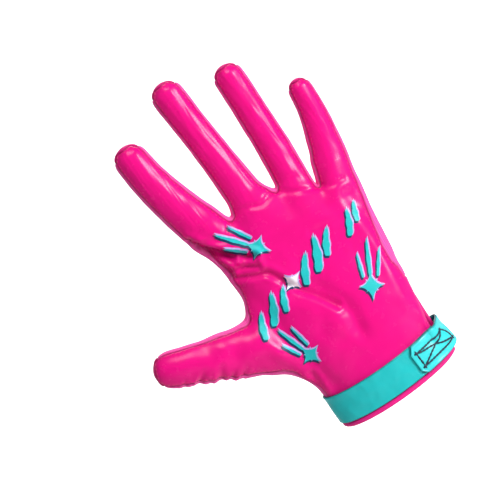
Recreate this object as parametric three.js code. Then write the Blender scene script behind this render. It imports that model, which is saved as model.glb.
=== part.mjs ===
// Football receiver glove for the left hand, filled out as on a spread hand.
// Palm faces -Y, fingertips point up +Z, the little finger is on the +X side.
// Origin: centre of the wrist opening. Lengths are in millimetres, angles in degrees.
//
// The glove is a coarse cage of four-sided faces, smoothed by one Catmull-Clark step. Each face of
// the cage belongs to a sewn panel, and each panel becomes a cloth wall of even thickness.
import * as THREE from "three";

// Hand
const HAND_BREADTH = 102; // across the knuckles
const PALM_LENGTH = 146; // wrist origin to the root of the middle finger
const PALM_DEPTH = 34; // through the ball of the thumb
const WRIST_BREADTH = 82.4; // across the wall under the band
const WRIST_DEPTH = 36;

// Fingers, root to tip
const INDEX_LENGTH = 74.3;
const MIDDLE_LENGTH = 91;
const RING_LENGTH = 83.8;
const LITTLE_LENGTH = 58.4;
const FINGER_WIDTH = 20.5;
const FINGER_DEPTH = 17.5;

// Thumb
const THUMB_LENGTH = 74.6;
const THUMB_WIDTH = 24;
const THUMB_DEPTH = 20.5;
const THUMB_ANGLE = 22.7; // above the level line, pointing away from the little finger

// Cloth
const WALL = 1.4;
const SEAM_GAP = 0.3; // clearance between sewn edges
const LAYER_GAP = 0.3; // clearance between layers that lie on each other
const BINDING_WIDTH = 3.4;
const BINDING_SWELL = 0.7; // how far the folded tape stands out from the wall, on both faces

// Wrist closure
const CUFF_RISE = 4; // height of the band's lower edge at the two sides of the wrist
const CUFF_DIP = 4.2; // how much lower that edge is at the middle of the palm
const CUFF_DIP_BACK = 1.2;
const BAND_WIDTH = 19.6;
const BAND_THICKNESS = 1.3;
const STRAP_THICKNESS = 1.6;
const STRAP_FRONT_REACH = 13.6; // X of the strap's free end on the palm side
const STRAP_BACK_REACH = 9; // X of its sewn end on the back
const STRAP_CHAMFER = 3;
const STRAP_STAND_OFF = 0.5; // where the strap bridges the notch
const NOTCH_HEIGHT = 53.4; // top of the wrist slit, with its binding

// Rows of a table, read by the names of its columns
function table(columns, rows) {
  return rows.map((row) => Object.fromEntries(columns.map((name, i) => [name, row[i]])));
}

// One row per finger, from the thumb side. across: root centre, share of HAND_BREADTH. rise: root
// height, share of PALM_LENGTH. lean: towards the little finger. bow: sideways curve, share of
// length. root, tip: widths, shares of FINGER_WIDTH. taper: how fast the root width is lost.
// curl: tip's reach towards the palm side, share of length.
const FINGERS = table(["length", "across", "rise", "lean", "bow", "root", "tip", "taper", "curl"], [
  [INDEX_LENGTH, -0.394, 1.0, -10.3, -0.039, 1.39, 1.02, 1.4, 0.09],
  [MIDDLE_LENGTH, -0.089, 1.0, -2.2, 0.005, 1.26, 0.99, 4.5, 0.08],
  [RING_LENGTH, 0.192, 0.959, 3.5, 0.017, 1.05, 0.92, 1.3, 0.1],
  [LITTLE_LENGTH, 0.432, 0.917, 12.2, 0.044, 1.2, 0.71, 1.4, 0.13],
]);

// One row per ring of a finger. shaft: share of the straight length. dome: share of the round end.
// size: share of the width there. ratio: depth over width, relative to the tip's.
const FINGER_RINGS = table(["shaft", "dome", "size", "ratio"], [
  [0.08, 0, 1, 0.9],
  [0.22, 0, 1, 0.92],
  [0.48, 0, 1, 0.96],
  [0.78, 0, 1, 1],
  [1, 0, 1, 1],
  [1, 0.52, 0.86, 1],
  [1, 0.84, 0.56, 1],
]);
const ROOT_RING = { shaft: 0, dome: 0, size: 1, ratio: 0.9 };
const WEB_DEPTH = 0.34; // half the web's depth, share of FINGER_DEPTH
const WEB_DROP = 0.15; // how far the web's two edges lie below its ridge, share of FINGER_WIDTH

// One row per web between two fingers: across as above, rise: share of PALM_LENGTH.
const WEBS = table(["name", "across", "rise"], [
  ["index_middle", -0.243, 1.006],
  ["middle_ring", 0.072, 0.994],
  ["ring_little", 0.297, 0.906],
]);

// One row per section of the palm, from the wrist up. radialRise, ulnarRise: heights at the thumb
// side and the little finger's side, shares of PALM_LENGTH. radial, ulnar: outline, shares of
// HAND_BREADTH. front, back: shares of PALM_DEPTH. fan: 0 spacing of the wrist, 1 of the knuckles.
const NOTCH_SHARE = NOTCH_HEIGHT / PALM_LENGTH;
const PALM_ROWS = table(["radialRise", "ulnarRise", "radial", "ulnar", "front", "back", "fan"], [
  [0.295, NOTCH_SHARE, -0.452, 0.419, 0.53, 0.48, 0.3],
  [0.452, 0.468, -0.5, 0.434, 0.54, 0.48, 0.5],
  [0.592, 0.59, -0.5, 0.463, 0.51, 0.455, 0.7],
  [0.712, 0.695, -0.474, 0.487, 0.455, 0.42, 0.85],
  [0.85, 0.803, -0.475, 0.522, 0.395, 0.375, 1],
]);
const SECTION_SQUARENESS = 2.3; // 2 is an ellipse, more is boxier

// One row per line of the cage that runs up the palm and the back: its place across half the
// breadth, at the wrist and at the knuckles.
const COLUMNS = table(["wrist", "knuckle"], [
  [-0.955, -0.961],
  [-0.8, -0.785],
  [-0.56, -0.532],
  [-0.28, -0.249],
  [0, 0.054],
  [0.28, 0.298],
  [0.54, 0.508],
  [0.77, 0.737],
  [0.87, 0.951],
]);

// The notch, one row per section from the band's lower edge to the top of the slit. rise: share of
// BAND_WIDTH. front: its palm-side edge, share of half the breadth. back: its back edge, share of
// half the depth.
const NOTCH_ROWS = table(["rise", "front", "back"], [
  [0, 0.972, 0.2],
  [0.5, 0.92, 0.27],
  [1, 0.855, 0.32],
]);
const NOTCH_TOP = { front: 0.972, back: 0.36 };
const SIDE_SQUARENESS = 2.6; // of the wrist between the notch's edges

// One row per ring of the thumb, from its root. along: share of THUMB_LENGTH. turn: how far the
// ring has turned towards THUMB_ANGLE. width, depth: shares of the thumb's. forward: towards the
// palm side, share of THUMB_LENGTH.
const THUMB_ROOT = { across: -0.485, rise: 0.462 };
const THUMB_RINGS = table(["along", "turn", "width", "depth", "forward"], [
  [0, -0.18, 2.04, 1.6, 0.01],
  [0.187, 0.5, 1.42, 1.33, 0.045],
  [0.434, 1, 1.15, 1.12, 0.085],
  [0.587, 1, 1.06, 1.04, 0.105],
  [0.74, 1, 1, 1, 0.12],
  [0.86, 1, 0.94, 0.93, 0.125],
  [0.937, 1, 0.78, 0.76, 0.127],
  [0.977, 1, 0.53, 0.5, 0.127],
]);

// Places round a finger's ring, from the palm-side edge nearest the thumb. panel: what is sewn
// between this place and the next one.
const RING_PLACES = table(["angle", "panel"], [
  [-63, "palm"],
  [0, "palm"],
  [63, "ulnar"],
  [97, "ulnar"],
  [138, "back"],
  [180, "back"],
  [-138, "radial"],
  [-97, "radial"],
]);
const RING_SQUARENESS = 2.15; // of a finger's section

// Dents and folds, one row each: depth and reach (half width), shares of PALM_DEPTH, and the points
// of its line across and up, shares of HAND_BREADTH and PALM_LENGTH. The rows are: crease of the
// thumb's ball, hollow of the palm, fold at the index root, hollows below the three webs, fold at the
// wrist, fold on the back.
const FOLDS = table(["face", "depth", "reach", "line"], [
  ["palm", 0.075, 0.16, [[-0.215, 0.63], [-0.08, 0.55], [0, 0.41], [-0.01, 0.31]]],
  ["palm", 0.09, 0.62, [[0.02, 0.62], [0.2, 0.55]]],
  ["palm", 0.06, 0.13, [[-0.51, 0.96], [-0.32, 0.82]]],
  ["palm", 0.05, 0.2, [[-0.24, 0.93], [-0.23, 0.88]]],
  ["palm", 0.05, 0.2, [[0.07, 0.92], [0.07, 0.87]]],
  ["palm", 0.05, 0.2, [[0.29, 0.84], [0.28, 0.79]]],
  ["palm", 0.04, 0.15, [[-0.36, 0.3], [-0.33, 0.18]]],
  ["back", 0.06, 0.18, [[-0.25, 0.3], [0.22, 0.33]]],
]);

// Gathers along the thumb's lower seam
const GATHER_COUNT = 5;
const GATHER_DEPTH = 0.9;
const GATHER_FIRST = 0.3; // share of THUMB_LENGTH
const GATHER_LAST = 0.82;
const GATHER_BELOW = 0.3; // below the thumb's middle line, share of THUMB_WIDTH

const COLOURS = { pink: 0xff1493, deepPink: 0xd01078, teal: 0x1fc4c8 };
const FITTING_STEPS = 10;

const radians = THREE.MathUtils.degToRad;
const mix = THREE.MathUtils.lerp;
const vec = (x, y, z) => new THREE.Vector3(x, y, z);
const signedPower = (value, power) => Math.sign(value) * Math.abs(value) ** power;
const wristShift = -(STRAP_THICKNESS + LAYER_GAP) / 2; // keeps band and strap centred on the origin

// The cage: points, and faces that name their panel
const cage = { points: [], faces: [] };

function addPoint(point) {
  cage.points.push(point);
  return cage.points.length - 1;
}

function addFace(corners, panel) {
  cage.faces.push({ corners, panel });
}

const lastColumn = COLUMNS.length - 1;

// Depth of a rounded section, share of its half depth, at a share of its half breadth
function depthAt(share, squareness) {
  return Math.max(0, 1 - Math.abs(share) ** squareness) ** (1 / squareness);
}

function bandRow(row) {
  const half = WRIST_BREADTH / 2;
  const height = (share, dip) => CUFF_RISE + BAND_WIDTH * row.rise - dip * depthAt(share, 2);
  const place = (share, face) => {
    const deep = depthAt(share, 2) * (WRIST_DEPTH / 2);
    const dip = face < 0 ? CUFF_DIP : CUFF_DIP_BACK;
    return addPoint(vec(wristShift + half * share, face * deep, height(share, dip)));
  };
  const ulnarX = wristShift + half * depthAt(row.back, SIDE_SQUARENESS);
  return {
    front: COLUMNS.map((column, i) => place(i === lastColumn ? row.front : column.wrist, -1)),
    back: COLUMNS.map((column) => place(column.wrist, 1)),
    ulnar: addPoint(vec(ulnarX, row.back * (WRIST_DEPTH / 2), height(1, 0))),
    radial: addPoint(vec(wristShift - half, 0, height(1, 0))),
  };
}

function palmRow(row, thumb, notch) {
  const left = row.radial * HAND_BREADTH;
  const right = row.ulnar * HAND_BREADTH;
  const middle = (left + right) / 2;
  const half = (right - left) / 2;
  const height = (share) => mix(row.radialRise, row.ulnarRise, (share + 1) / 2) * PALM_LENGTH;
  const place = (share, face, deep) => {
    const depth = depthAt(share, SECTION_SQUARENESS) * deep * PALM_DEPTH;
    return addPoint(vec(middle + half * share, face * depth, height(share)));
  };
  const line = (face, deep, thumbPoint) => COLUMNS.map((column, i) => {
    if (i === 0 && thumb) {
      return thumbPoint;
    }
    const onNotch = notch && face < 0 && i === lastColumn;
    return place(onNotch ? notch.front : mix(column.wrist, column.knuckle, row.fan), face, deep);
  });
  const sideDepth = notch ? notch.back : 0;
  const ulnarX = middle + half * depthAt(sideDepth, SIDE_SQUARENESS);
  return {
    front: line(-1, row.front, thumb?.front),
    back: line(1, row.back, thumb?.back),
    ulnar: addPoint(vec(ulnarX, sideDepth * row.back * PALM_DEPTH, height(1))),
    radial: thumb ? thumb.radial : addPoint(vec(left, 0, height(-1))),
  };
}

// Ring of eight points round an axis. side points towards the little finger on a finger.
function ringPoints(centre, side, forward, width, depth) {
  const power = 2 / RING_SQUARENESS;
  return RING_PLACES.map((place) => {
    const angle = radians(place.angle);
    const point = centre.clone();
    point.addScaledVector(side, signedPower(Math.sin(angle), power) * (width / 2));
    return point.addScaledVector(forward, signedPower(Math.cos(angle), power) * (depth / 2));
  });
}

const forward = vec(0, -1, 0);

const thumbRootPoint = vec(THUMB_ROOT.across * HAND_BREADTH, 0, THUMB_ROOT.rise * PALM_LENGTH);
const thumbRun = vec(-Math.cos(radians(THUMB_ANGLE)), 0, Math.sin(radians(THUMB_ANGLE)));

function alongThumb(row) {
  const centre = thumbRootPoint.clone().addScaledVector(thumbRun, row.along * THUMB_LENGTH);
  return centre.addScaledVector(forward, row.forward * THUMB_LENGTH);
}

function thumbRing(row) {
  const turned = radians(THUMB_ANGLE * row.turn);
  const side = vec(Math.sin(turned), 0, Math.cos(turned));
  const [width, depth] = [row.width * THUMB_WIDTH, row.depth * THUMB_DEPTH];
  return ringPoints(alongThumb(row), side, forward, width, depth).map(addPoint);
}

// Centre and tangent of a finger's curved axis at a share of its length
function fingerAxis(finger, share) {
  const lean = radians(finger.lean);
  const point = vec(finger.across * HAND_BREADTH, 0, finger.rise * PALM_LENGTH);
  point.addScaledVector(vec(Math.sin(lean), 0, Math.cos(lean)), share * finger.length);
  point.x += finger.bow * finger.length * 4 * share * (1 - share);
  return point.addScaledVector(forward, finger.curl * finger.length * share * share);
}

function fingerRing(finger, row) {
  const tipRadius = (finger.tip * FINGER_WIDTH) / 2;
  const share = (row.shaft * (finger.length - tipRadius) + row.dome * tipRadius) / finger.length;
  const step = 0.01;
  const tangent = fingerAxis(finger, share + step).sub(fingerAxis(finger, share - step)).normalize();
  const side = forward.clone().cross(tangent).negate().normalize();
  const facing = side.clone().cross(tangent).normalize();
  const width = FINGER_WIDTH * (finger.tip + (finger.root - finger.tip) * (1 - share) ** finger.taper);
  const depth = width * row.ratio * (FINGER_DEPTH / FINGER_WIDTH);
  return ringPoints(fingerAxis(finger, share), side, facing, width * row.size, depth * row.size);
}

// Faces between two rings of equal count, with the panel of each
function joinRings(lower, upper, panelOf) {
  lower.forEach((corner, i) => {
    const next = (i + 1) % lower.length;
    addFace([corner, lower[next], upper[next], upper[i]], panelOf(i));
  });
}

function addTip(ring, tip) {
  const centre = addPoint(tip);
  for (let i = 1; i < ring.length; i += 2) {
    const next = (i + 1) % ring.length;
    const last = (i + 2) % ring.length;
    addFace([ring[i], ring[next], ring[last], centre], "back_panel");
  }
}

// Rings up one finger or the thumb. sides names the panels on its two flanks. The palm panel
// reaches the last ring, the flanks stop one ring earlier and the back panel wraps over the tip.
function addFingerShell(rootRing, rings, tip, sides) {
  const panels = { palm: "palm_panel", back: "back_panel", ulnar: sides.ulnar, radial: sides.radial };
  [rootRing, ...rings].slice(0, -1).forEach((lower, level) => {
    const nearTip = level === rings.length - 1;
    joinRings(lower, rings[level], (i) => {
      const kind = RING_PLACES[i].panel;
      return nearTip && kind !== "palm" ? "back_panel" : panels[kind];
    });
  });
  addTip(rings[rings.length - 1], tip);
}

// Thumb rings first, because the palm's side is sewn to its root ring
const thumbRings = THUMB_RINGS.map(thumbRing);
const thumbRoot = thumbRings[0];
const thumbJoins = [
  { front: thumbRoot[0], radial: thumbRoot[7], back: thumbRoot[6] },
  { front: thumbRoot[1], radial: undefined, back: thumbRoot[5] },
  { front: thumbRoot[2], radial: thumbRoot[3], back: thumbRoot[4] },
];

// The row where the fingers start: their root rings, with one shared web point between neighbours
function rootRow() {
  const rings = FINGERS.map((finger) => fingerRing(finger, ROOT_RING));
  const webPoint = (web, face) => {
    const drop = face === 0 ? 0 : WEB_DROP * FINGER_WIDTH;
    const deep = face * WEB_DEPTH * FINGER_DEPTH;
    return addPoint(vec(web.across * HAND_BREADTH, deep, web.rise * PALM_LENGTH - drop));
  };
  const last = rings.length - 1;
  const line = (face, edge, crown, farEdge) => {
    const points = [addPoint(rings[0][edge])];
    rings.forEach((ring, i) => {
      points.push(addPoint(ring[crown]));
      points.push(i < last ? webPoint(WEBS[i], face) : addPoint(ring[farEdge]));
    });
    return points;
  };
  return {
    front: line(-1, 0, 1, 2),
    back: line(1, 6, 5, 4),
    ulnar: addPoint(rings[last][3]),
    radial: addPoint(rings[0][7]),
    webs: WEBS.map((web) => webPoint(web, 0)),
  };
}

const bandRows = NOTCH_ROWS.map(bandRow);
const palmRows = PALM_ROWS.map((row, i) => palmRow(row, thumbJoins[i], i === 0 ? NOTCH_TOP : undefined));
const rows = [...bandRows, ...palmRows, rootRow()];
const bandTop = NOTCH_ROWS.length - 1;
const firstPalmRow = NOTCH_ROWS.length; // the notch and the thumb's root both meet it
const thumbTop = firstPalmRow + thumbJoins.length - 1;

function addHandRows(level) {
  const low = rows[level];
  const high = rows[level + 1];
  for (let i = 0; i < lastColumn; i += 1) {
    addFace([low.front[i], low.front[i + 1], high.front[i + 1], high.front[i]], "palm_panel");
    addFace([low.back[i + 1], low.back[i], high.back[i], high.back[i + 1]], "back_panel");
  }
  const edge = [low.front[lastColumn], low.ulnar, high.ulnar, high.front[lastColumn]];
  addFace(edge, level < firstPalmRow ? "notch" : "side_ulnar");
  addFace([low.ulnar, low.back[lastColumn], high.back[lastColumn], high.ulnar], "side_ulnar");
  if (level < firstPalmRow || level >= thumbTop) {
    const panel = level < firstPalmRow ? "side_thumb" : "gusset_thumb";
    addFace([low.back[0], low.radial, high.radial, high.back[0]], panel);
    addFace([low.radial, low.front[0], high.front[0], high.radial], panel);
  }
}

rows.slice(0, -1).forEach((row, level) => addHandRows(level));

const roots = rows[rows.length - 1];
FINGERS.forEach((finger, i) => {
  const lastFinger = i === FINGERS.length - 1;
  const rootRing = [
    roots.front[2 * i],
    roots.front[2 * i + 1],
    roots.front[2 * i + 2],
    lastFinger ? roots.ulnar : roots.webs[i],
    roots.back[2 * i + 2],
    roots.back[2 * i + 1],
    roots.back[2 * i],
    i === 0 ? roots.radial : roots.webs[i - 1],
  ];
  const sides = {
    ulnar: lastFinger ? "side_ulnar" : `gusset_${WEBS[i].name}`,
    radial: i === 0 ? "gusset_thumb" : `gusset_${WEBS[i - 1].name}`,
  };
  const rings = FINGER_RINGS.map((row) => fingerRing(finger, row).map(addPoint));
  addFingerShell(rootRing, rings, fingerAxis(finger, 1), sides);
});

const thumbTip = alongThumb({ along: 1, forward: THUMB_RINGS[THUMB_RINGS.length - 1].forward });
addFingerShell(thumbRoot, thumbRings.slice(1), thumbTip, { ulnar: "gusset_thumb", radial: "side_thumb" });

// Edges of a mesh, keyed by their two ends, with the faces on them
function edgesOf(mesh) {
  const edges = new Map();
  mesh.faces.forEach((face, f) => {
    face.corners.forEach((a, i) => {
      const b = face.corners[(i + 1) % face.corners.length];
      const key = a < b ? `${a} ${b}` : `${b} ${a}`;
      if (!edges.has(key)) {
        edges.set(key, { ends: [a, b], faces: [] });
      }
      edges.get(key).faces.push(f);
    });
  });
  return edges;
}

function averageOf(points) {
  const sum = vec(0, 0, 0);
  points.forEach((point) => sum.add(point));
  return sum.divideScalar(points.length);
}

// One Catmull-Clark step. The first points of the result are the old ones, moved.
function subdivide(mesh) {
  const edges = edgesOf(mesh);
  const count = mesh.points.length;
  const centres = mesh.faces.map((face) => averageOf(face.corners.map((i) => mesh.points[i])));
  const points = [];
  const around = mesh.points.map(() => ({ faces: [], middles: [], rim: [] }));
  mesh.faces.forEach((face, f) => face.corners.forEach((i) => around[i].faces.push(centres[f])));
  const edgeIndex = new Map();
  const edgePoints = [];
  [...edges.entries()].forEach(([key, edge]) => {
    const [a, b] = edge.ends.map((i) => mesh.points[i]);
    const middle = averageOf([a, b]);
    const open = edge.faces.length === 1;
    edge.ends.forEach((i, side) => {
      around[i].middles.push(middle);
      if (open) {
        around[i].rim.push(mesh.points[edge.ends[1 - side]]);
      }
    });
    edgeIndex.set(key, count + edgePoints.length);
    edgePoints.push(open ? middle : averageOf([a, b, centres[edge.faces[0]], centres[edge.faces[1]]]));
  });
  mesh.points.forEach((point, i) => {
    const { faces, middles, rim } = around[i];
    if (rim.length === 2) {
      points.push(point.clone().multiplyScalar(6).add(rim[0]).add(rim[1]).divideScalar(8));
      return;
    }
    const n = middles.length;
    const moved = averageOf(faces).addScaledVector(averageOf(middles), 2).addScaledVector(point, n - 3);
    points.push(moved.divideScalar(n));
  });
  const firstCentre = count + edgePoints.length;
  points.push(...edgePoints, ...centres);
  const faces = [];
  mesh.faces.forEach((face, f) => {
    const size = face.corners.length;
    face.corners.forEach((corner, i) => {
      const before = face.corners[(i + size - 1) % size];
      const after = face.corners[(i + 1) % size];
      const onEdge = (a, b) => edgeIndex.get(a < b ? `${a} ${b}` : `${b} ${a}`);
      const corners = [corner, onEdge(corner, after), firstCentre + f, onEdge(before, corner)];
      faces.push({ corners, panel: face.panel });
    });
  });
  return { points, faces };
}

// Where endless smoothing would take each point of a mesh of four-sided faces
function limitPoints(mesh) {
  const around = mesh.points.map(() => ({ near: new Map(), far: [], rim: [] }));
  mesh.faces.forEach((face) => {
    face.corners.forEach((corner, i) => {
      [1, 3].forEach((step) => around[corner].near.set(face.corners[(i + step) % 4], true));
      around[corner].far.push(face.corners[(i + 2) % 4]);
    });
  });
  edgesOf(mesh).forEach((edge) => {
    if (edge.faces.length === 1) {
      edge.ends.forEach((i, side) => around[i].rim.push(edge.ends[1 - side]));
    }
  });
  return mesh.points.map((point, i) => {
    const { near, far, rim } = around[i];
    if (rim.length === 2) {
      const [before, after] = rim.map((j) => mesh.points[j]);
      return point.clone().multiplyScalar(4).add(before).add(after).divideScalar(6);
    }
    const n = near.size;
    const sum = point.clone().multiplyScalar(n * n);
    near.forEach((_, j) => sum.addScaledVector(mesh.points[j], 4));
    far.forEach((j) => sum.add(mesh.points[j]));
    return sum.divideScalar(n * (n + 5));
  });
}

// Moves the cage until the smooth surface passes through the points it was given
function fitCage() {
  const targets = cage.points.map((point) => point.clone());
  for (let step = 0; step < FITTING_STEPS; step += 1) {
    const reached = limitPoints(subdivide(cage));
    cage.points.forEach((point, i) => point.add(targets[i]).sub(reached[i]));
  }
}

function normalsOf(mesh) {
  const normals = mesh.points.map(() => vec(0, 0, 0));
  mesh.faces.forEach((face) => {
    const [a, b, c, d] = face.corners.map((i) => mesh.points[i]);
    const normal = c.clone().sub(a).cross(d.clone().sub(b));
    face.corners.forEach((i) => normals[i].add(normal));
  });
  return normals.map((normal) => normal.normalize());
}

fitCage();
const glove = subdivide(cage);
glove.points = limitPoints(glove);

// Presses the folds and gathers into the smooth surface
function distanceToLine(x, z, line) {
  const here = new THREE.Vector2(x, z);
  const stops = line.map(([across, up]) => new THREE.Vector2(across * HAND_BREADTH, up * PALM_LENGTH));
  const distances = stops.slice(0, -1).map((start, i) => {
    const along = stops[i + 1].clone().sub(start);
    const share = THREE.MathUtils.clamp(here.clone().sub(start).dot(along) / along.lengthSq(), 0, 1);
    return here.distanceTo(start.clone().addScaledVector(along, share));
  });
  return Math.min(...distances);
}

function gatherDepth(point) {
  const fromRoot = point.clone().sub(thumbRootPoint);
  const along = fromRoot.dot(thumbRun) / THUMB_LENGTH;
  const below = -(thumbRun.z * fromRoot.x - thumbRun.x * fromRoot.z) / THUMB_WIDTH;
  if (along < GATHER_FIRST || along > GATHER_LAST || below < GATHER_BELOW) {
    return 0;
  }
  const phase = (along - GATHER_FIRST) / (GATHER_LAST - GATHER_FIRST);
  return GATHER_DEPTH * Math.sin(Math.PI * GATHER_COUNT * phase) ** 2;
}

function pressFolds() {
  const normals = normalsOf(glove);
  glove.points.forEach((point, i) => {
    let depth = gatherDepth(point);
    FOLDS.forEach((fold) => {
      const facing = Math.max(0, fold.face === "palm" ? -normals[i].y : normals[i].y);
      const distance = distanceToLine(point.x, point.z, fold.line) / (fold.reach * PALM_DEPTH);
      depth += fold.depth * PALM_DEPTH * facing * Math.exp(-distance * distance);
    });
    point.addScaledVector(normals[i], -depth);
  });
}

pressFolds();
glove.normals = normalsOf(glove);

// Corners between a straight rim and a hairpin are mitred within these limits of the cosine
const SHARPEST_CORNER = -0.6;
const STRAIGHTEST_CORNER = 0.98;

// Moves the rim of a set of faces inwards along the surface. widthAt gives how far, for each edge.
function insetRim(mesh, faces, widthAt) {
  const edges = edgesOf({ faces });
  const pulls = new Map();
  edges.forEach((edge) => {
    if (edge.faces.length === 1) {
      const [a, b] = edge.ends;
      const along = mesh.points[b].clone().sub(mesh.points[a]).normalize();
      edge.ends.forEach((i) => {
        const inwards = mesh.normals[i].clone().cross(along).normalize();
        pulls.set(i, [...(pulls.get(i) ?? []), { inwards, width: widthAt(a, b) }]);
      });
    }
  });
  const moved = new Map();
  pulls.forEach((sides, i) => {
    const shift = vec(0, 0, 0);
    if (sides.length === 2) {
      const cosine = sides[0].inwards.dot(sides[1].inwards);
      const scale = 1 / (1 + THREE.MathUtils.clamp(cosine, SHARPEST_CORNER, STRAIGHTEST_CORNER));
      sides.forEach((side) => shift.addScaledVector(side.inwards, side.width * scale));
      if (Math.abs(sides[0].width - sides[1].width) > SEAM_GAP) {
        shift.copy(sides[0].inwards).multiplyScalar(sides[0].width);
        shift.addScaledVector(sides[1].inwards, sides[1].width - shift.dot(sides[1].inwards));
      }
    }
    moved.set(i, mesh.points[i].clone().add(shift));
  });
  return moved;
}

// A closed wall over some faces of a mesh, between two heights above its surface
function wallGeometry(mesh, faces, top, bottom, moved = new Map()) {
  const used = [...new Set(faces.flatMap((face) => face.corners))];
  const indexOf = new Map(used.map((i, k) => [i, k]));
  const positions = [];
  [top, bottom].forEach((height) => {
    used.forEach((i) => {
      const point = (moved.get(i) ?? mesh.points[i]).clone().addScaledVector(mesh.normals[i], height);
      positions.push(point.x, point.y, point.z);
    });
  });
  const place = (i, layer) => indexOf.get(i) + layer * used.length;
  const triangles = [];
  const addQuad = (a, b, c, d) => triangles.push(a, b, c, a, c, d);
  faces.forEach(({ corners: [a, b, c, d] }) => {
    const span = (i, j) => mesh.points[i].distanceTo(mesh.points[j]);
    const [p, q, r, s] = span(a, c) <= span(b, d) ? [a, b, c, d] : [b, c, d, a];
    addQuad(...[p, q, r, s].map((i) => place(i, 0)));
    addQuad(...[p, s, r, q].map((i) => place(i, 1)));
  });
  edgesOf({ faces }).forEach((edge) => {
    if (edge.faces.length === 1) {
      const [a, b] = edge.ends;
      const rim = [place(b, 0), place(a, 0), place(a, 1), place(b, 1)];
      addQuad(...(a < b ? rim : [...rim.slice(1), rim[0]]));
    }
  });
  return geometryFrom(positions, triangles);
}

function geometryFrom(positions, triangles) {
  const geometry = new THREE.BufferGeometry();
  geometry.setAttribute("position", new THREE.Float32BufferAttribute(positions, 3));
  geometry.setIndex(triangles);
  geometry.computeVertexNormals();
  return geometry;
}

// A solid through closed sections of equal count, with flat ends
function loftGeometry(sections) {
  const size = sections[0].length;
  const positions = sections.flat().flatMap((point) => [point.x, point.y, point.z]);
  const triangles = [];
  for (let s = 0; s + 1 < sections.length; s += 1) {
    for (let i = 0; i < size; i += 1) {
      const next = (i + 1) % size;
      const [a, b] = [s * size + i, s * size + next];
      triangles.push(a, b, b + size, a, b + size, a + size);
    }
  }
  const last = (sections.length - 1) * size;
  for (let i = 1; i + 1 < size; i += 1) {
    triangles.push(0, i + 1, i, last, last + i, last + i + 1);
  }
  return geometryFrom(positions, triangles);
}

const group = new THREE.Group();
const materials = {
  palm: new THREE.MeshStandardMaterial({ color: COLOURS.pink, roughness: 0.25, metalness: 0 }),
  cloth: new THREE.MeshStandardMaterial({ color: COLOURS.deepPink, roughness: 0.7, metalness: 0 }),
  teal: new THREE.MeshStandardMaterial({ color: COLOURS.teal, roughness: 0.45, metalness: 0 }),
};

function addNode(name, geometry, material) {
  const mesh = new THREE.Mesh(geometry, material);
  mesh.name = name;
  group.add(mesh);
}

const panelNames = [
  "palm_panel",
  "back_panel",
  "side_ulnar",
  "side_thumb",
  "gusset_thumb",
  ...WEBS.map((web) => `gusset_${web.name}`),
];
panelNames.forEach((name) => {
  const faces = glove.faces.filter((face) => face.panel === name);
  const moved = insetRim(glove, faces, () => SEAM_GAP / 2);
  const material = name === "palm_panel" ? materials.palm : materials.cloth;
  addNode(name, wallGeometry(glove, faces, 0, -WALL, moved), material);
});

// Lines of points round the wrist, from the band's lower edge up. Each starts at the notch's back
// edge and runs over the back, the thumb side and the palm to the notch's palm-side edge.
const faceOnEdge = new Map();
glove.faces.forEach((face) => {
  face.corners.forEach((corner, i) => faceOnEdge.set(`${corner} ${face.corners[(i + 1) % 4]}`, face));
});

function cuffLine() {
  const following = new Map();
  edgesOf(glove).forEach((edge) => {
    if (edge.faces.length === 1) {
      following.set(edge.ends[0], edge.ends[1]);
    }
  });
  const line = [rows[0].ulnar];
  while (following.get(line[line.length - 1]) !== line[0]) {
    line.push(following.get(line[line.length - 1]));
  }
  return line;
}

function lineAbove(line) {
  return line.map((corner, i) => {
    const { corners } = faceOnEdge.get(`${corner} ${line[(i + 1) % line.length]}`);
    return corners[(corners.indexOf(corner) + 3) % 4];
  });
}

const bandLines = [cuffLine()];
while (bandLines.length < 2 * bandTop + 1) {
  bandLines.push(lineAbove(bandLines[bandLines.length - 1]));
}

// Binding: tape folded round a cut edge. One row per corner of its section: across from the panel's
// side to the free edge, level from the inner face (-1) to the outer one (1).
const BINDING_SECTION = [
  { across: 0, level: 0.85 },
  { across: 0.35, level: 1 },
  { across: 0.8, level: 0.85 },
  { across: 1, level: 0.3 },
  { across: 1, level: -0.3 },
  { across: 0.8, level: -0.85 },
  { across: 0.35, level: -1 },
  { across: 0, level: -0.85 },
];

function bindingSection(panelSide, freeSide, normal) {
  return BINDING_SECTION.map(({ across, level }) => {
    const height = level * (WALL / 2 + BINDING_SWELL) - WALL / 2;
    return panelSide.clone().lerp(freeSide, across).addScaledVector(normal, height);
  });
}

// Directions along the surface, away from the panels, at each point of a chain of edges
function sidewaysOf(chain, sign) {
  return chain.map((here, i) => {
    const before = glove.points[chain[Math.max(0, i - 1)]];
    const after = glove.points[chain[Math.min(chain.length - 1, i + 1)]];
    return glove.normals[here].clone().cross(after.clone().sub(before)).multiplyScalar(sign).normalize();
  });
}

function cuffBinding() {
  const chain = bandLines[0].slice(0, bandLines[0].indexOf(rows[0].front[lastColumn]) + 1);
  const down = sidewaysOf(chain, -1);
  const sections = chain.map((i, k) => {
    const start = glove.points[i].clone().addScaledVector(down[k], SEAM_GAP / 2);
    const end = start.clone().addScaledVector(down[k], BINDING_WIDTH);
    return bindingSection(start, end, glove.normals[i]);
  });
  return loftGeometry(sections);
}

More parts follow.
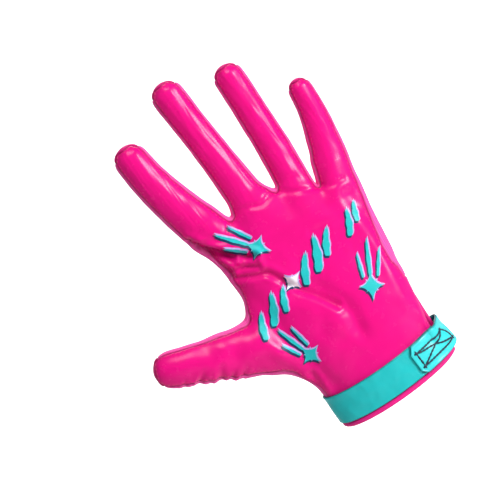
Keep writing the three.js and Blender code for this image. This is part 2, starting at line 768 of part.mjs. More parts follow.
// Up the notch's palm-side edge, round its top and down the back edge
function notchBinding() {
  const notchFaces = glove.faces.filter((face) => face.panel === "notch");
  const following = new Map();
  edgesOf({ faces: notchFaces }).forEach((edge) => {
    if (edge.faces.length === 1) {
      following.set(edge.ends[0], edge.ends[1]);
    }
  });
  const chain = [rows[0].ulnar];
  while (chain[0] !== rows[0].front[lastColumn]) {
    chain.unshift(following.get(chain[0]));
  }
  const onCuff = (a, b) => bandLines[0].includes(a) && bandLines[0].includes(b);
  const rimAt = (width) => insetRim(glove, notchFaces, (a, b) => (onCuff(a, b) ? SEAM_GAP / 2 : width));
  const panelSides = rimAt(SEAM_GAP / 2);
  const freeSides = rimAt(SEAM_GAP / 2 + BINDING_WIDTH);
  const sections = chain.map((i) => bindingSection(panelSides.get(i), freeSides.get(i), glove.normals[i]));
  return loftGeometry(sections);
}

function wristBand() {
  const onBand = new Set(bandLines.flat());
  const covered = (face) => face.panel !== "notch" && face.corners.every((i) => onBand.has(i));
  const faces = glove.faces.filter(covered);
  const moved = insetRim(glove, faces, () => SEAM_GAP / 2);
  return wallGeometry(glove, faces, LAYER_GAP + BAND_THICKNESS, LAYER_GAP, moved);
}

// Places on the lines round the wrist are counted in points from the notch's back edge
const OVER_NOTCH = -1;
const BRIDGE_REACH = 1.8;
const SHORTEST_STEP = 0.2; // between the strap's end and the next point

// Sews on at the back, comes round the little finger's side over the notch and lies on the band
function closureStrap() {
  const count = bandLines[0].length;
  const at = (line, step) => line[(step + count) % count];
  const reachAt = (line, direction, reach) => {
    let step = 0;
    while (glove.points[at(line, step + direction)].x > reach) {
      step += direction;
    }
    const [near, far] = [step, step + direction].map((k) => glove.points[at(line, k)].x);
    return step + (direction * (near - reach)) / (near - far);
  };
  const ends = bandLines.map((line, row) => {
    const corner = row === 0 || row === bandLines.length - 1 ? STRAP_CHAMFER : 0;
    return [reachAt(line, -1, STRAP_FRONT_REACH + corner), reachAt(line, 1, STRAP_BACK_REACH)];
  });
  const first = Math.ceil(Math.max(...ends.map((end) => end[0])) + SHORTEST_STEP);
  const last = Math.floor(Math.min(...ends.map((end) => end[1])) - SHORTEST_STEP);
  const strap = { points: [], normals: [], faces: [] };
  const addStrapPoint = (line, place) => {
    const low = Math.floor(place);
    const share = place - low;
    const [a, b] = [at(line, low), at(line, low + 1)];
    const normal = glove.normals[a].clone().lerp(glove.normals[b], share).normalize();
    const lift = STRAP_STAND_OFF * Math.exp(-(((place - OVER_NOTCH) / BRIDGE_REACH) ** 2));
    strap.points.push(glove.points[a].clone().lerp(glove.points[b], share).addScaledVector(normal, lift));
    strap.normals.push(normal);
  };
  const steps = Array.from({ length: last - first + 1 }, (_, i) => first + i);
  bandLines.forEach((line, row) => {
    [ends[row][0], ...steps, ends[row][1]].forEach((place) => addStrapPoint(line, place));
  });
  const across = steps.length + 2;
  for (let row = 0; row + 1 < bandLines.length; row += 1) {
    for (let i = 0; i + 1 < across; i += 1) {
      const low = row * across + i;
      strap.faces.push({ corners: [low, low + 1, low + 1 + across, low + across] });
    }
  }
  const bottom = LAYER_GAP + BAND_THICKNESS + LAYER_GAP;
  return wallGeometry(strap, strap.faces, bottom + STRAP_THICKNESS, bottom);
}

addNode("cuff_binding", cuffBinding(), materials.cloth);
addNode("notch_binding", notchBinding(), materials.cloth);
addNode("wrist_band", wristBand(), materials.teal);
addNode("closure_strap", closureStrap(), materials.teal);

export default group;
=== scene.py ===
import math
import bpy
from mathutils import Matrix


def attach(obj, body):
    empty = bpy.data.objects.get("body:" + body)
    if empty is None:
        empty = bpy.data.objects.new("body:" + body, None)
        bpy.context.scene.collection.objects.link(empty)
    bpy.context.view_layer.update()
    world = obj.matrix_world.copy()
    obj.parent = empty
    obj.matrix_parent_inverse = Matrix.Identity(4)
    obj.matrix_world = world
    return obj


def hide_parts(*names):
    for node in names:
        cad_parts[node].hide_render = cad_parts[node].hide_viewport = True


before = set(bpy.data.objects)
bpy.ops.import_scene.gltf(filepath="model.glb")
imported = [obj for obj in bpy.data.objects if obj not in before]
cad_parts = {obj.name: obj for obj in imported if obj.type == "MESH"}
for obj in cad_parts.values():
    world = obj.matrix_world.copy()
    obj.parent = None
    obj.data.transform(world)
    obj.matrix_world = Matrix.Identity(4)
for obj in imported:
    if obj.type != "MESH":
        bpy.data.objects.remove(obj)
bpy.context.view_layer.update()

from types import SimpleNamespace

import bpy
import numpy as np
from mathutils import Matrix, Vector, geometry, kdtree, noise
from mathutils.bvhtree import BVHTree


# Form of the hand
# Every panel is cut to one smooth skin, filled out as on a spread left hand: palm towards -Y,
# fingers up, little finger at +X. The skin is a coarse cage of four-sided faces, each named for its
# panel, whose smooth surface passes through the cage's own corners, so each seam meets its neighbour.
MM = 0.001
HAND_BREADTH = 102 * MM  # across the knuckles
PALM_LENGTH = 146 * MM  # wrist origin to the root of the middle finger
PALM_DEPTH = 34 * MM  # through the ball of the thumb
WRIST_BREADTH = 82.4 * MM
WRIST_DEPTH = 36 * MM
FINGER_WIDTH = 20.5 * MM
FINGER_DEPTH = 17.5 * MM
THUMB_LENGTH = 74.6 * MM
THUMB_WIDTH = 24 * MM
THUMB_DEPTH = 20.5 * MM
THUMB_ANGLE = math.radians(22.7)  # above the level line, away from the little finger
CUFF_RISE = 4 * MM  # height of the band's lower edge at the two sides of the wrist
CUFF_DIP = 4.2 * MM  # how much lower that edge is at the middle of the palm
CUFF_DIP_BACK = 1.2 * MM
BAND_WIDTH = 19.6 * MM
STRAP_THICKNESS = 1.6 * MM
LAYER_GAP = 0.3 * MM
NOTCH_HEIGHT = 53.4 * MM
WRIST_SHIFT = -(STRAP_THICKNESS + LAYER_GAP) / 2


def table(columns, *rows):
    """Rows whose values are read by the names of their columns"""
    return [SimpleNamespace(**dict(zip(columns.split(), row))) for row in rows]


# across, rise: root centre, shares of hand breadth and palm length. bow, curl: sideways curve and
# reach towards the palm side, shares of length. root, tip: widths, shares of finger width.
FINGERS = table(
    "name length across rise lean bow root tip taper curl",
    ("index", 74.3 * MM, -0.394, 1.0, -10.3, -0.039, 1.39, 1.02, 1.4, 0.09),
    ("middle", 91 * MM, -0.089, 1.0, -2.2, 0.005, 1.26, 0.99, 4.5, 0.08),
    ("ring", 83.8 * MM, 0.192, 0.959, 3.5, 0.017, 1.05, 0.92, 1.3, 0.1),
    ("little", 58.4 * MM, 0.432, 0.917, 12.2, 0.044, 1.2, 0.71, 1.4, 0.13),
)
# shaft: share of the straight length. dome: share of the round end. size: share of the width there
FINGER_RINGS = table(
    "shaft dome size ratio",
    (0.08, 0, 1, 0.9),
    (0.22, 0, 1, 0.92),
    (0.48, 0, 1, 0.96),
    (0.78, 0, 1, 1),
    (1, 0, 1, 1),
    (1, 0.52, 0.86, 1),
    (1, 0.84, 0.56, 1),
)
ROOT_RING = SimpleNamespace(shaft=0, dome=0, size=1, ratio=0.9)
WEBS = table(
    "name across rise",
    ("index_middle", -0.243, 1.006),
    ("middle_ring", 0.072, 0.994),
    ("ring_little", 0.297, 0.906),
)
WEB_DEPTH = 0.34
WEB_DROP = 0.15
# Heights at the thumb's side and the little finger's, outline, depths, and spread of the columns
PALM_ROWS = table(
    "radial_rise ulnar_rise radial ulnar front back fan",
    (0.295, NOTCH_HEIGHT / PALM_LENGTH, -0.452, 0.419, 0.53, 0.48, 0.3),
    (0.452, 0.468, -0.5, 0.434, 0.54, 0.48, 0.5),
    (0.592, 0.59, -0.5, 0.463, 0.51, 0.455, 0.7),
    (0.712, 0.695, -0.474, 0.487, 0.455, 0.42, 0.85),
    (0.85, 0.803, -0.475, 0.522, 0.395, 0.375, 1),
)
PALM_SQUARENESS = 2.3
COLUMNS = table(
    "wrist knuckle",
    (-0.955, -0.961),
    (-0.8, -0.785),
    (-0.56, -0.532),
    (-0.28, -0.249),
    (0, 0.054),
    (0.28, 0.298),
    (0.54, 0.508),
    (0.77, 0.737),
    (0.87, 0.951),
)
# The slit at the wrist: its palm-side edge and its back edge at three heights of the band
NOTCH_ROWS = table("rise front back", (0, 0.972, 0.2), (0.5, 0.92, 0.27), (1, 0.855, 0.32))
NOTCH_TOP = SimpleNamespace(front=0.972, back=0.36)
SIDE_SQUARENESS = 2.6
THUMB_ROOT = np.array((-0.485 * HAND_BREADTH, 0, 0.462 * PALM_LENGTH))
THUMB_RINGS = table(
    "along turn width depth forward",
    (0, -0.18, 2.04, 1.6, 0.01),
    (0.187, 0.5, 1.42, 1.33, 0.045),
    (0.434, 1, 1.15, 1.12, 0.085),
    (0.587, 1, 1.06, 1.04, 0.105),
    (0.74, 1, 1, 1, 0.12),
    (0.86, 1, 0.94, 0.93, 0.125),
    (0.937, 1, 0.78, 0.76, 0.127),
    (0.977, 1, 0.53, 0.5, 0.127),
)
RING_PLACES = table(
    "angle panel",
    (-63, "palm"),
    (0, "palm"),
    (63, "ulnar"),
    (97, "ulnar"),
    (138, "back"),
    (180, "back"),
    (-138, "radial"),
    (-97, "radial"),
)
RING_POWER = 2 / 2.15
FITTING_STEPS = 10
SKIN_LEVEL = 4  # 0.5 to 1.2 mm between points, so that a seam's groove shows
FORWARD = np.array((0, -1, 0))

cage_points = []
cage_faces = []
cage_panels = []


def add_point(point):
    cage_points.append(np.array(point, float))
    return len(cage_points) - 1


def add_face(corners, panel):
    cage_faces.append(tuple(corners))
    cage_panels.append(panel)


def depth_at(share, squareness):
    """Depth of a rounded section, share of its half depth, at a share of its half breadth"""
    return max(0.0, 1 - abs(share) ** squareness) ** (1 / squareness)


def band_row(row):
    half = WRIST_BREADTH / 2

    def height(share, dip):
        return CUFF_RISE + BAND_WIDTH * row.rise - dip * depth_at(share, 2)

    def place(share, face):
        dip = CUFF_DIP if face < 0 else CUFF_DIP_BACK
        deep = depth_at(share, 2) * WRIST_DEPTH / 2
        return add_point((WRIST_SHIFT + half * share, face * deep, height(share, dip)))

    front = [place(column.wrist, -1) for column in COLUMNS[:-1]] + [place(row.front, -1)]
    back = [place(column.wrist, 1) for column in COLUMNS]
    ulnar_x = WRIST_SHIFT + half * depth_at(row.back, SIDE_SQUARENESS)
    ulnar = add_point((ulnar_x, row.back * WRIST_DEPTH / 2, height(1, 0)))
    radial = add_point((WRIST_SHIFT - half, 0, height(1, 0)))
    return SimpleNamespace(front=front, back=back, ulnar=ulnar, radial=radial)


def palm_row(row, thumb, notch):
    left, right = row.radial * HAND_BREADTH, row.ulnar * HAND_BREADTH
    middle, half = (left + right) / 2, (right - left) / 2

    def height(share):
        rise = row.radial_rise + (row.ulnar_rise - row.radial_rise) * (share + 1) / 2
        return rise * PALM_LENGTH

    def place(share, face, deep):
        depth = depth_at(share, PALM_SQUARENESS) * deep * PALM_DEPTH
        return add_point((middle + half * share, face * depth, height(share)))

    def line(face, deep, thumb_point):
        points = []
        for i, column in enumerate(COLUMNS):
            share = column.wrist + (column.knuckle - column.wrist) * row.fan
            if notch and face < 0 and i == len(COLUMNS) - 1:
                share = notch.front
            points.append(thumb_point if thumb and i == 0 else place(share, face, deep))
        return points

    side_depth = notch.back if notch else 0
    ulnar_x = middle + half * depth_at(side_depth, SIDE_SQUARENESS)
    return SimpleNamespace(
        front=line(-1, row.front, thumb and thumb.front),
        back=line(1, row.back, thumb and thumb.back),
        ulnar=add_point((ulnar_x, side_depth * row.back * PALM_DEPTH, height(1))),
        radial=thumb.radial if thumb else add_point((left, 0, height(-1))),
    )


def ring_points(centre, side, facing, width, depth):
    """Eight points round an axis, from the palm-side edge nearest the thumb"""
    points = []
    for place in RING_PLACES:
        angle = math.radians(place.angle)
        across = math.copysign(abs(math.sin(angle)) ** RING_POWER, math.sin(angle))
        out = math.copysign(abs(math.cos(angle)) ** RING_POWER, math.cos(angle))
        points.append(centre + side * (across * width / 2) + facing * (out * depth / 2))
    return points


def along_thumb(share, forward_share):
    reach = np.array((-math.cos(THUMB_ANGLE), 0, math.sin(THUMB_ANGLE))) * (share * THUMB_LENGTH)
    return THUMB_ROOT + reach + FORWARD * (forward_share * THUMB_LENGTH)


def thumb_ring(row):
    turned = THUMB_ANGLE * row.turn
    side = np.array((math.sin(turned), 0, math.cos(turned)))
    centre = along_thumb(row.along, row.forward)
    ring = ring_points(centre, side, FORWARD, row.width * THUMB_WIDTH, row.depth * THUMB_DEPTH)
    return [add_point(point) for point in ring]


def finger_axis(finger, share):
    lean = math.radians(finger.lean)
    root = np.array((finger.across * HAND_BREADTH, 0, finger.rise * PALM_LENGTH))
    reach = np.array((math.sin(lean), 0, math.cos(lean))) * (share * finger.length)
    bow = np.array((finger.bow * finger.length * 4 * share * (1 - share), 0, 0))
    return root + reach + bow + FORWARD * (finger.curl * finger.length * share**2)


def finger_ring(finger, row):
    tip_radius = finger.tip * FINGER_WIDTH / 2
    share = (row.shaft * (finger.length - tip_radius) + row.dome * tip_radius) / finger.length
    step = 0.01
    tangent = finger_axis(finger, share + step) - finger_axis(finger, share - step)
    tangent /= np.linalg.norm(tangent)
    side = -np.cross(FORWARD, tangent)
    side /= np.linalg.norm(side)
    facing = np.cross(side, tangent)
    spread = (finger.root - finger.tip) * (1 - share) ** finger.taper
    width = FINGER_WIDTH * (finger.tip + spread)
    depth = width * row.ratio * FINGER_DEPTH / FINGER_WIDTH
    centre = finger_axis(finger, share)
    return ring_points(centre, side, facing, width * row.size, depth * row.size)


def add_finger_shell(root_ring, rings, tip, ulnar, radial):
    """Rings up one finger or the thumb. The back panel wraps over the tip."""
    panels = {"palm": "palm_panel", "back": "back_panel", "ulnar": ulnar, "radial": radial}
    lower = root_ring
    for level, upper in enumerate(rings):
        near_tip = level == len(rings) - 1
        for i, place in enumerate(RING_PLACES):
            after = (i + 1) % len(RING_PLACES)
            wraps = near_tip and place.panel != "palm"
            panel = "back_panel" if wraps else panels[place.panel]
            add_face((lower[i], lower[after], upper[after], upper[i]), panel)
        lower = upper
    centre = add_point(tip)
    for i in range(1, len(lower), 2):
        add_face((lower[i], lower[(i + 1) % 8], lower[(i + 2) % 8], centre), "back_panel")


def root_row():
    """The row where the fingers start, with one shared web point between neighbours"""
    rings = [finger_ring(finger, ROOT_RING) for finger in FINGERS]

    def web_point(web, face):
        drop = WEB_DROP * FINGER_WIDTH if face else 0
        height = web.rise * PALM_LENGTH - drop
        return add_point((web.across * HAND_BREADTH, face * WEB_DEPTH * FINGER_DEPTH, height))

    def line(face, edge, crown, far_edge):
        points = [add_point(rings[0][edge])]
        for i, ring in enumerate(rings):
            points.append(add_point(ring[crown]))
            last = i == len(rings) - 1
            points.append(add_point(ring[far_edge]) if last else web_point(WEBS[i], face))
        return points

    return SimpleNamespace(
        front=line(-1, 0, 1, 2),
        back=line(1, 6, 5, 4),
        ulnar=add_point(rings[-1][3]),
        radial=add_point(rings[0][7]),
        webs=[web_point(web, 0) for web in WEBS],
    )


thumb_rings = [thumb_ring(row) for row in THUMB_RINGS]
ring = thumb_rings[0]
thumb_joins = [
    SimpleNamespace(front=ring[0], radial=ring[7], back=ring[6]),
    SimpleNamespace(front=ring[1], radial=None, back=ring[5]),
    SimpleNamespace(front=ring[2], radial=ring[3], back=ring[4]),
]
rows = [band_row(row) for row in NOTCH_ROWS]
first_palm_row = len(rows)
for level, row in enumerate(PALM_ROWS):
    thumb = thumb_joins[level] if level < len(thumb_joins) else None
    rows.append(palm_row(row, thumb, NOTCH_TOP if level == 0 else None))
rows.append(root_row())
thumb_top = first_palm_row + len(thumb_joins) - 1

for level, (low, high) in enumerate(zip(rows, rows[1:])):
    for i in range(len(COLUMNS) - 1):
        add_face((low.front[i], low.front[i + 1], high.front[i + 1], high.front[i]), "palm_panel")
        add_face((low.back[i + 1], low.back[i], high.back[i], high.back[i + 1]), "back_panel")
    slit = "notch" if level < first_palm_row else "side_ulnar"
    add_face((low.front[-1], low.ulnar, high.ulnar, high.front[-1]), slit)
    add_face((low.ulnar, low.back[-1], high.back[-1], high.ulnar), "side_ulnar")
    if level < first_palm_row or level >= thumb_top:
        panel = "side_thumb" if level < first_palm_row else "gusset_thumb"
        add_face((low.back[0], low.radial, high.radial, high.back[0]), panel)
        add_face((low.radial, low.front[0], high.front[0], high.radial), panel)

roots = rows[-1]
for i, finger in enumerate(FINGERS):
    last = i == len(FINGERS) - 1
    front, back = roots.front[2 * i : 2 * i + 3], roots.back[2 * i : 2 * i + 3]
    far_side = roots.ulnar if last else roots.webs[i]
    near_side = roots.radial if i == 0 else roots.webs[i - 1]
    root_ring = [*front, far_side, back[2], back[1], back[0], near_side]
    shafts = [[add_point(point) for point in finger_ring(finger, row)] for row in FINGER_RINGS]
    ulnar = "side_ulnar" if last else "gusset_" + WEBS[i].name
    radial = "gusset_thumb" if i == 0 else "gusset_" + WEBS[i - 1].name
    add_finger_shell(root_ring, shafts, finger_axis(finger, 1), ulnar, radial)
thumb_tip = along_thumb(1, THUMB_RINGS[-1].forward)
add_finger_shell(thumb_rings[0], thumb_rings[1:], thumb_tip, "gusset_thumb", "side_thumb")

PANELS = sorted(set(cage_panels))
cage_mesh = bpy.data.meshes.new("cage")
cage_mesh.from_pydata([tuple(point) for point in cage_points], [], cage_faces)
panel_numbers = cage_mesh.attributes.new("panel", "INT", "FACE")
panel_numbers.data.foreach_set("value", [PANELS.index(panel) for panel in cage_panels])
cage = bpy.data.objects.new("cage", cage_mesh)
bpy.context.collection.objects.link(cage)
smoothing = cage.modifiers.new("smoothing", "SUBSURF")


def smooth_skin(level):
    """The cage's smooth surface: points, four-sided faces and the number of each face's panel"""
    smoothing.levels = smoothing.render_levels = level
    mesh = cage.evaluated_get(bpy.context.evaluated_depsgraph_get()).to_mesh()
    points = np.empty(3 * len(mesh.vertices))
    mesh.vertices.foreach_get("co", points)
    faces = np.empty(4 * len(mesh.polygons), int)
    mesh.polygons.foreach_get("vertices", faces)
    numbers = np.empty(len(mesh.polygons), int)
    mesh.attributes["panel"].data.foreach_get("value", numbers)
    return points.reshape(-1, 3), faces.reshape(-1, 4), numbers


targets = np.array(cage_points)
moved = targets.copy()
for step in range(FITTING_STEPS):
    moved += targets - smooth_skin(1)[0][: len(targets)]
    cage_mesh.vertices.foreach_set("co", moved.ravel())
    cage_mesh.update()
    cage.update_tag()
points, faces, panels = smooth_skin(SKIN_LEVEL)
bpy.data.objects.remove(cage)


def normals_of(points, faces):
    a, b, c, d = (points[faces[:, k]] for k in range(4))
    facing = np.cross(c - a, d - b)
    total = np.zeros_like(points)
    for k in range(4):
        np.add.at(total, faces[:, k], facing)
    return total / np.linalg.norm(total, axis=1, keepdims=True)


def edges_of(faces):
    """Each edge's two ends in the order of one face on it, and how many faces are on it"""
    ends = np.stack((faces, np.roll(faces, -1, axis=1)), axis=2).reshape(-1, 2)
    owner = np.repeat(np.arange(len(faces)), 4)
    key = np.sort(ends, axis=1)
    order = np.lexsort((key[:, 1], key[:, 0]))
    same = np.all(key[order][1:] == key[order][:-1], axis=1)
    return ends, owner, order, same


def rim_of(faces):
    """Directed edges that only one face holds"""
    ends, _, order, same = edges_of(faces)
    alone = ~(np.append(same, False) | np.insert(same, 0, False))
    return ends[order[alone]]


def seam_edges(faces, numbers):
    """Edges between faces of different panels"""
    ends, owner, order, same = edges_of(faces)
    first, second = order[:-1][same], order[1:][same]
    between = numbers[owner[first]] != numbers[owner[second]]
    return ends[first[between]]


# Folds and dents of the worn-in skin
# The cloth creases round the ball of the thumb and at the roots of the fingers, gathers along the
# seam under the thumb, and rolls down into every seam, where two panels are sewn edge to edge.

# line: places across and up, shares of hand breadth and palm length. depth, reach: shares of palm
# depth. lip: the soft ridge beside a fold, share of its depth. shade: how dark the painted shade in its
# bottom is.
FOLDS = table(
    "face depth reach lip shade line",
    ("palm", 0.075, 0.16, 0.0, 0, ((-0.215, 0.63), (-0.08, 0.55), (0, 0.41), (-0.01, 0.31))),
    ("palm", 0.048, 0.06, 0.4, 0.7,
        ((-0.46, 0.8), (-0.42, 0.781), (-0.33, 0.745), (-0.255, 0.719), (-0.2, 0.64))),
    ("palm", 0.036, 0.06, 0.35, 0.5, ((-0.2, 0.64), (-0.157, 0.589), (-0.098, 0.527), (-0.036, 0.445))),
    ("palm", 0.04, 0.055, 0.5, 0.6, ((-0.47, 0.84), (-0.43, 0.824), (-0.28, 0.768))),
    ("palm", 0.09, 0.62, 0.0, 0, ((0.02, 0.62), (0.2, 0.55))),
    ("palm", 0.06, 0.13, 0.0, 0, ((-0.51, 0.96), (-0.32, 0.82))),
    ("palm", 0.07, 0.064, 0.5, 1.0, ((-0.53, 1.014), (-0.44, 0.918), (-0.387, 0.853))),
    ("palm", 0.065, 0.062, 0.5, 1.0, ((-0.52, 0.98), (-0.45, 0.87), (-0.44, 0.808))),
    ("palm", 0.06, 0.06, 0.6, 0.9, ((-0.49, 0.945), (-0.392, 0.884), (-0.265, 0.808))),
    ("palm", 0.03, 0.055, 0.0, 0, ((-0.245, 1.0), (-0.3, 0.955), (-0.36, 0.938), (-0.45, 0.973))),
    ("palm", 0.035, 0.055, 0.0, 0,
        ((-0.22, 0.997), (-0.137, 0.993), (-0.05, 0.967), (0.01, 0.975), (0.06, 0.99))),
    ("palm", 0.03, 0.05, 0.0, 0,
        ((0.078, 0.975), (0.134, 0.942), (0.19, 0.918), (0.252, 0.897), (0.29, 0.897))),
    ("palm", 0.02, 0.05, 0.0, 0, ((0.31, 0.885), (0.36, 0.86), (0.44, 0.85))),
    ("palm", 0.025, 0.2, 0.0, 0, ((-0.24, 0.93), (-0.23, 0.88))),
    ("palm", 0.025, 0.2, 0.0, 0, ((0.07, 0.92), (0.07, 0.87))),
    ("palm", 0.025, 0.2, 0.0, 0, ((0.29, 0.84), (0.28, 0.79))),
    ("palm", 0.04, 0.15, 0.0, 0, ((-0.36, 0.3), (-0.33, 0.18))),
    ("palm", 0.035, 0.06, 0.4, 0, ((-0.4, 0.27), (-0.41, 0.17))),
    ("palm", 0.01, 0.07, 0.3, 0, ((0.1, 0.75), (0.3, 0.72), (0.42, 0.68))),
    ("palm", 0.03, 0.12, 0.45, 0, ((0.41, 0.78), (0.435, 0.6), (0.42, 0.42), (0.37, 0.26))),
    ("back", 0.06, 0.18, 0.0, 0, ((-0.25, 0.3), (0.22, 0.33))),
    ("back", 0.03, 0.08, 0.3, 0, ((-0.3, 0.84), (-0.1, 0.87), (0.2, 0.82), (0.36, 0.74))),
    ("back", 0.03, 0.09, 0.3, 0, ((-0.42, 0.62), (-0.28, 0.48), (-0.2, 0.34))),
)
# Gathers at the seam under the thumb. place: share of the thumb's length. The rest are in
# millimetres, and lean is how far each runs sideways while it runs up one millimetre.
GATHERS = table(
    "place length lean reach depth",
    (0.14, 9, 0.5, 2.6, 0.5),
    (0.25, 6, -0.6, 1.2, 0.35),
    (0.306, 11, 0.6, 1.8, 1.2),
    (0.40, 7, 0.8, 1.4, 0.8),
    (0.475, 12, 0.3, 2.0, 1.3),
    (0.56, 5, -0.4, 1.1, 0.4),
    (0.655, 10, 0.7, 1.9, 1.25),
    (0.71, 4, -0.3, 1.0, 0.35),
    (0.775, 6, 0.5, 1.4, 0.7),
)
GATHER_LIP = 0.45
GATHER_FADE = 0.7  # power by which a gather fades along its length
FACING_LIMIT, LEAST_GATHER = 0.55, 0.25  # make the gathers weaker behind the seam
LIP_PLACE, LIP_WIDTH = 2, 0.9  # of a lip beside its fold, in reaches of the fold
# A fold's dark line is painted shade, narrower than the fold itself
FOLD_PAINTED_SHADE_SHARPNESS = 3  # a fold's dark line against the fold itself
SEAM_DEPTH = 0.7 * MM
SEAM_ROLL = 1.3 * MM  # how far from the seam the cloth starts to roll down
SEAM_DIP = 0.3 * MM
SEAM_DIP_REACH = 3.2 * MM
# The dark line in a seam is painted shade
SEAM_PAINTED_SHADE_REACH = 0.8 * MM  # reach of the dark line in a seam
SWELLS = table("depth size", (0.45 * MM, 21 * MM), (0.16 * MM, 8 * MM))  # of the filled-out cloth
SWELL_START = 12 * MM  # above the band, where the swelling is full
THUMB_SWELL = SimpleNamespace(depth=1.1 * MM, size=12 * MM, reach=62 * MM)


def soft_curve(stops, steps):
    """Catmull-Rom curve through a row of stops, with some steps between two of them"""
    stops = np.array(stops)
    around = np.concatenate((2 * stops[:1] - stops[1:2], stops, 2 * stops[-1:] - stops[-2:-1]))
    curve = []
    for k in range(len(stops) - 1):
        a, b, c, d = around[k : k + 4]
        for t in np.arange(steps) / steps:
            bend = (2 * a - 5 * b + 4 * c - d) * t**2 + (3 * b - a - 3 * c + d) * t**3
            curve.append((2 * b + (c - a) * t + bend) / 2)
    return np.array([*curve, stops[-1]])


def distance_to_line(points, line):
    """Distance in X and Z from each point to a soft line of shares across and up the palm"""
    here = points[:, ::2]
    stops = soft_curve(line, 5) * (HAND_BREADTH, PALM_LENGTH)
    nearest = np.full(len(points), np.inf)
    for start, end in zip(stops, stops[1:]):
        along = end - start
        share = np.clip((here - start) @ along / (along @ along), 0, 1)
        nearest = np.minimum(nearest, np.linalg.norm(here - start - share[:, None] * along, axis=1))
    return nearest


def lip_beside(away):
    """Shape of the ridge beside a fold, at a number of the fold's reaches away from its line"""
    return np.exp(-(((away - LIP_PLACE) / LIP_WIDTH) ** 2))


def gather_depth(points):
    """Puckers that start at the thumb's lower edge, with a small lip on both sides of each"""
    from_root = points - THUMB_ROOT
    along = -math.cos(THUMB_ANGLE) * from_root[:, 0] + math.sin(THUMB_ANGLE) * from_root[:, 2]
    below = -math.sin(THUMB_ANGLE) * from_root[:, 0] - math.cos(THUMB_ANGLE) * from_root[:, 2]
    half = np.interp(
        along / THUMB_LENGTH,
        [row.along for row in THUMB_RINGS],
        [row.width * THUMB_WIDTH / 2 for row in THUMB_RINGS],
    )
    up = np.clip(half - below, 0, None)
    depth = np.zeros(len(points))
    for gather in GATHERS:
        line = gather.place * THUMB_LENGTH - gather.lean * up
        away = np.abs(along - line) / (gather.reach * MM)
        fade = np.clip(1 - up / (gather.length * MM), 0, 1) ** GATHER_FADE
        lip = GATHER_LIP * lip_beside(away)
        depth += gather.depth * MM * fade * (np.exp(-(away**2)) - lip)
    return depth


normals = normals_of(points, faces)
seams = seam_edges(faces, panels)
seam_tree = kdtree.KDTree(len(seams))
for i, (a, b) in enumerate(seams):
    seam_tree.insert((points[a] + points[b]) / 2, i)
seam_tree.balance()
seam_distance = np.array([seam_tree.find(point)[2] for point in points])
seam_distance[np.unique(seams)] = 0

press = gather_depth(points) * np.clip(FACING_LIMIT - normals[:, 1], LEAST_GATHER, 1)
# Painted shade for the cloth's colour: full at the bottom of each seam, and at a fold's bottom as dark as
# its shade says
painted_seam_and_fold_shade = np.exp(-((seam_distance / SEAM_PAINTED_SHADE_REACH) ** 2))
for fold in FOLDS:
    facing = np.clip(normals[:, 1] * (-1 if fold.face == "palm" else 1), 0, None)
    away = distance_to_line(points, fold.line) / (fold.reach * PALM_DEPTH)
    ridge = fold.lip * lip_beside(away)
    press += fold.depth * PALM_DEPTH * facing * (np.exp(-(away**2)) - ridge)
    painted_seam_and_fold_shade = np.maximum(painted_seam_and_fold_shade, fold.shade * facing * np.exp(-FOLD_PAINTED_SHADE_SHARPNESS * away**2))
above_band = np.clip((points[:, 2] - CUFF_RISE - BAND_WIDTH) / SWELL_START, 0, 1)
for swell in SWELLS:
    wave = np.array([noise.noise(Vector(point) / swell.size) for point in points])
    press += swell.depth * above_band * wave
thumb_ball = np.exp(-((np.linalg.norm(points - THUMB_ROOT, axis=1) / THUMB_SWELL.reach) ** 4))
waves = np.array([noise.noise(Vector(point) / THUMB_SWELL.size) for point in points])
press += THUMB_SWELL.depth * thumb_ball * waves
rolled = np.clip(1 - seam_distance / SEAM_ROLL, 0, 1)
press += SEAM_DEPTH * (1 - np.sqrt(1 - rolled**2))
press += SEAM_DIP * np.exp(-((seam_distance / SEAM_DIP_REACH) ** 2))
even_points, even_normals = points, normals
points = points - normals * press[:, None]
normals = normals_of(points, faces)


# Panels of the glove
# The palm is one piece of knit coated with glossy silicone for grip; the back, the side strips and
# the gussets between the fingers are stretch knit. Each is a cloth wall sewn edge to edge.
WALL = 1.4 * MM
SEAM_OPENING = 0.03 * MM  # half of what shows between two sewn edges
SHARP = math.radians(50)
STREAKS_FROM, STREAKS_FULL = 130 * MM, 158 * MM  # heights between which the fingers' streaks grow
# Painted shade: the dark crimson mixed into the cloth in seams and folds, and its strength
PAINTED_SHADE_COLOUR, PAINTED_SHADE_STRENGTH = "#8C0038", 0.65


def srgb(text):
    """An sRGB hex colour as linear red, green, blue, alpha"""
    parts = [int(text[i : i + 2], 16) / 255 for i in (1, 3, 5)]
    linear = [c / 12.92 if c <= 0.04045 else ((c + 0.055) / 1.055) ** 2.4 for c in parts]
    return (*linear, 1)


def add_node(tree, kind, inputs, **settings):
    """Adds a node; inputs gives values, or sockets to link, by the input's name or number"""
    node = tree.nodes.new(kind)
    for name, value in settings.items():
        setattr(node, name, value)
    for name, value in inputs.items():
        if isinstance(value, bpy.types.NodeSocket):
            tree.links.new(value, node.inputs[name])
        else:
            node.inputs[name].default_value = value
    return node


def start_material(name):
    material = bpy.data.materials.new(name)
    material.use_nodes = True
    tree = material.node_tree
    return material, tree, tree.nodes["Principled BSDF"]


def with_painted_shade_in_seams(tree, colour):
    """The colour with painted shade: darkened inside the sewn seams and deep folds, where little light
    gets in
    """
    # The "seam" attribute holds the painted shade of the seams and folds
    seam = add_node(tree, "ShaderNodeAttribute", {}, attribute_name="seam").outputs["Fac"]
    strength = add_node(tree, "ShaderNodeMath", {0: seam, 1: PAINTED_SHADE_STRENGTH}, operation="MULTIPLY")
    mixed = add_node(
        tree,
        "ShaderNodeMix",
        {0: strength.outputs[0], 6: colour, 7: srgb(PAINTED_SHADE_COLOUR)},
        data_type="RGBA",
    )
    return mixed.outputs[2]


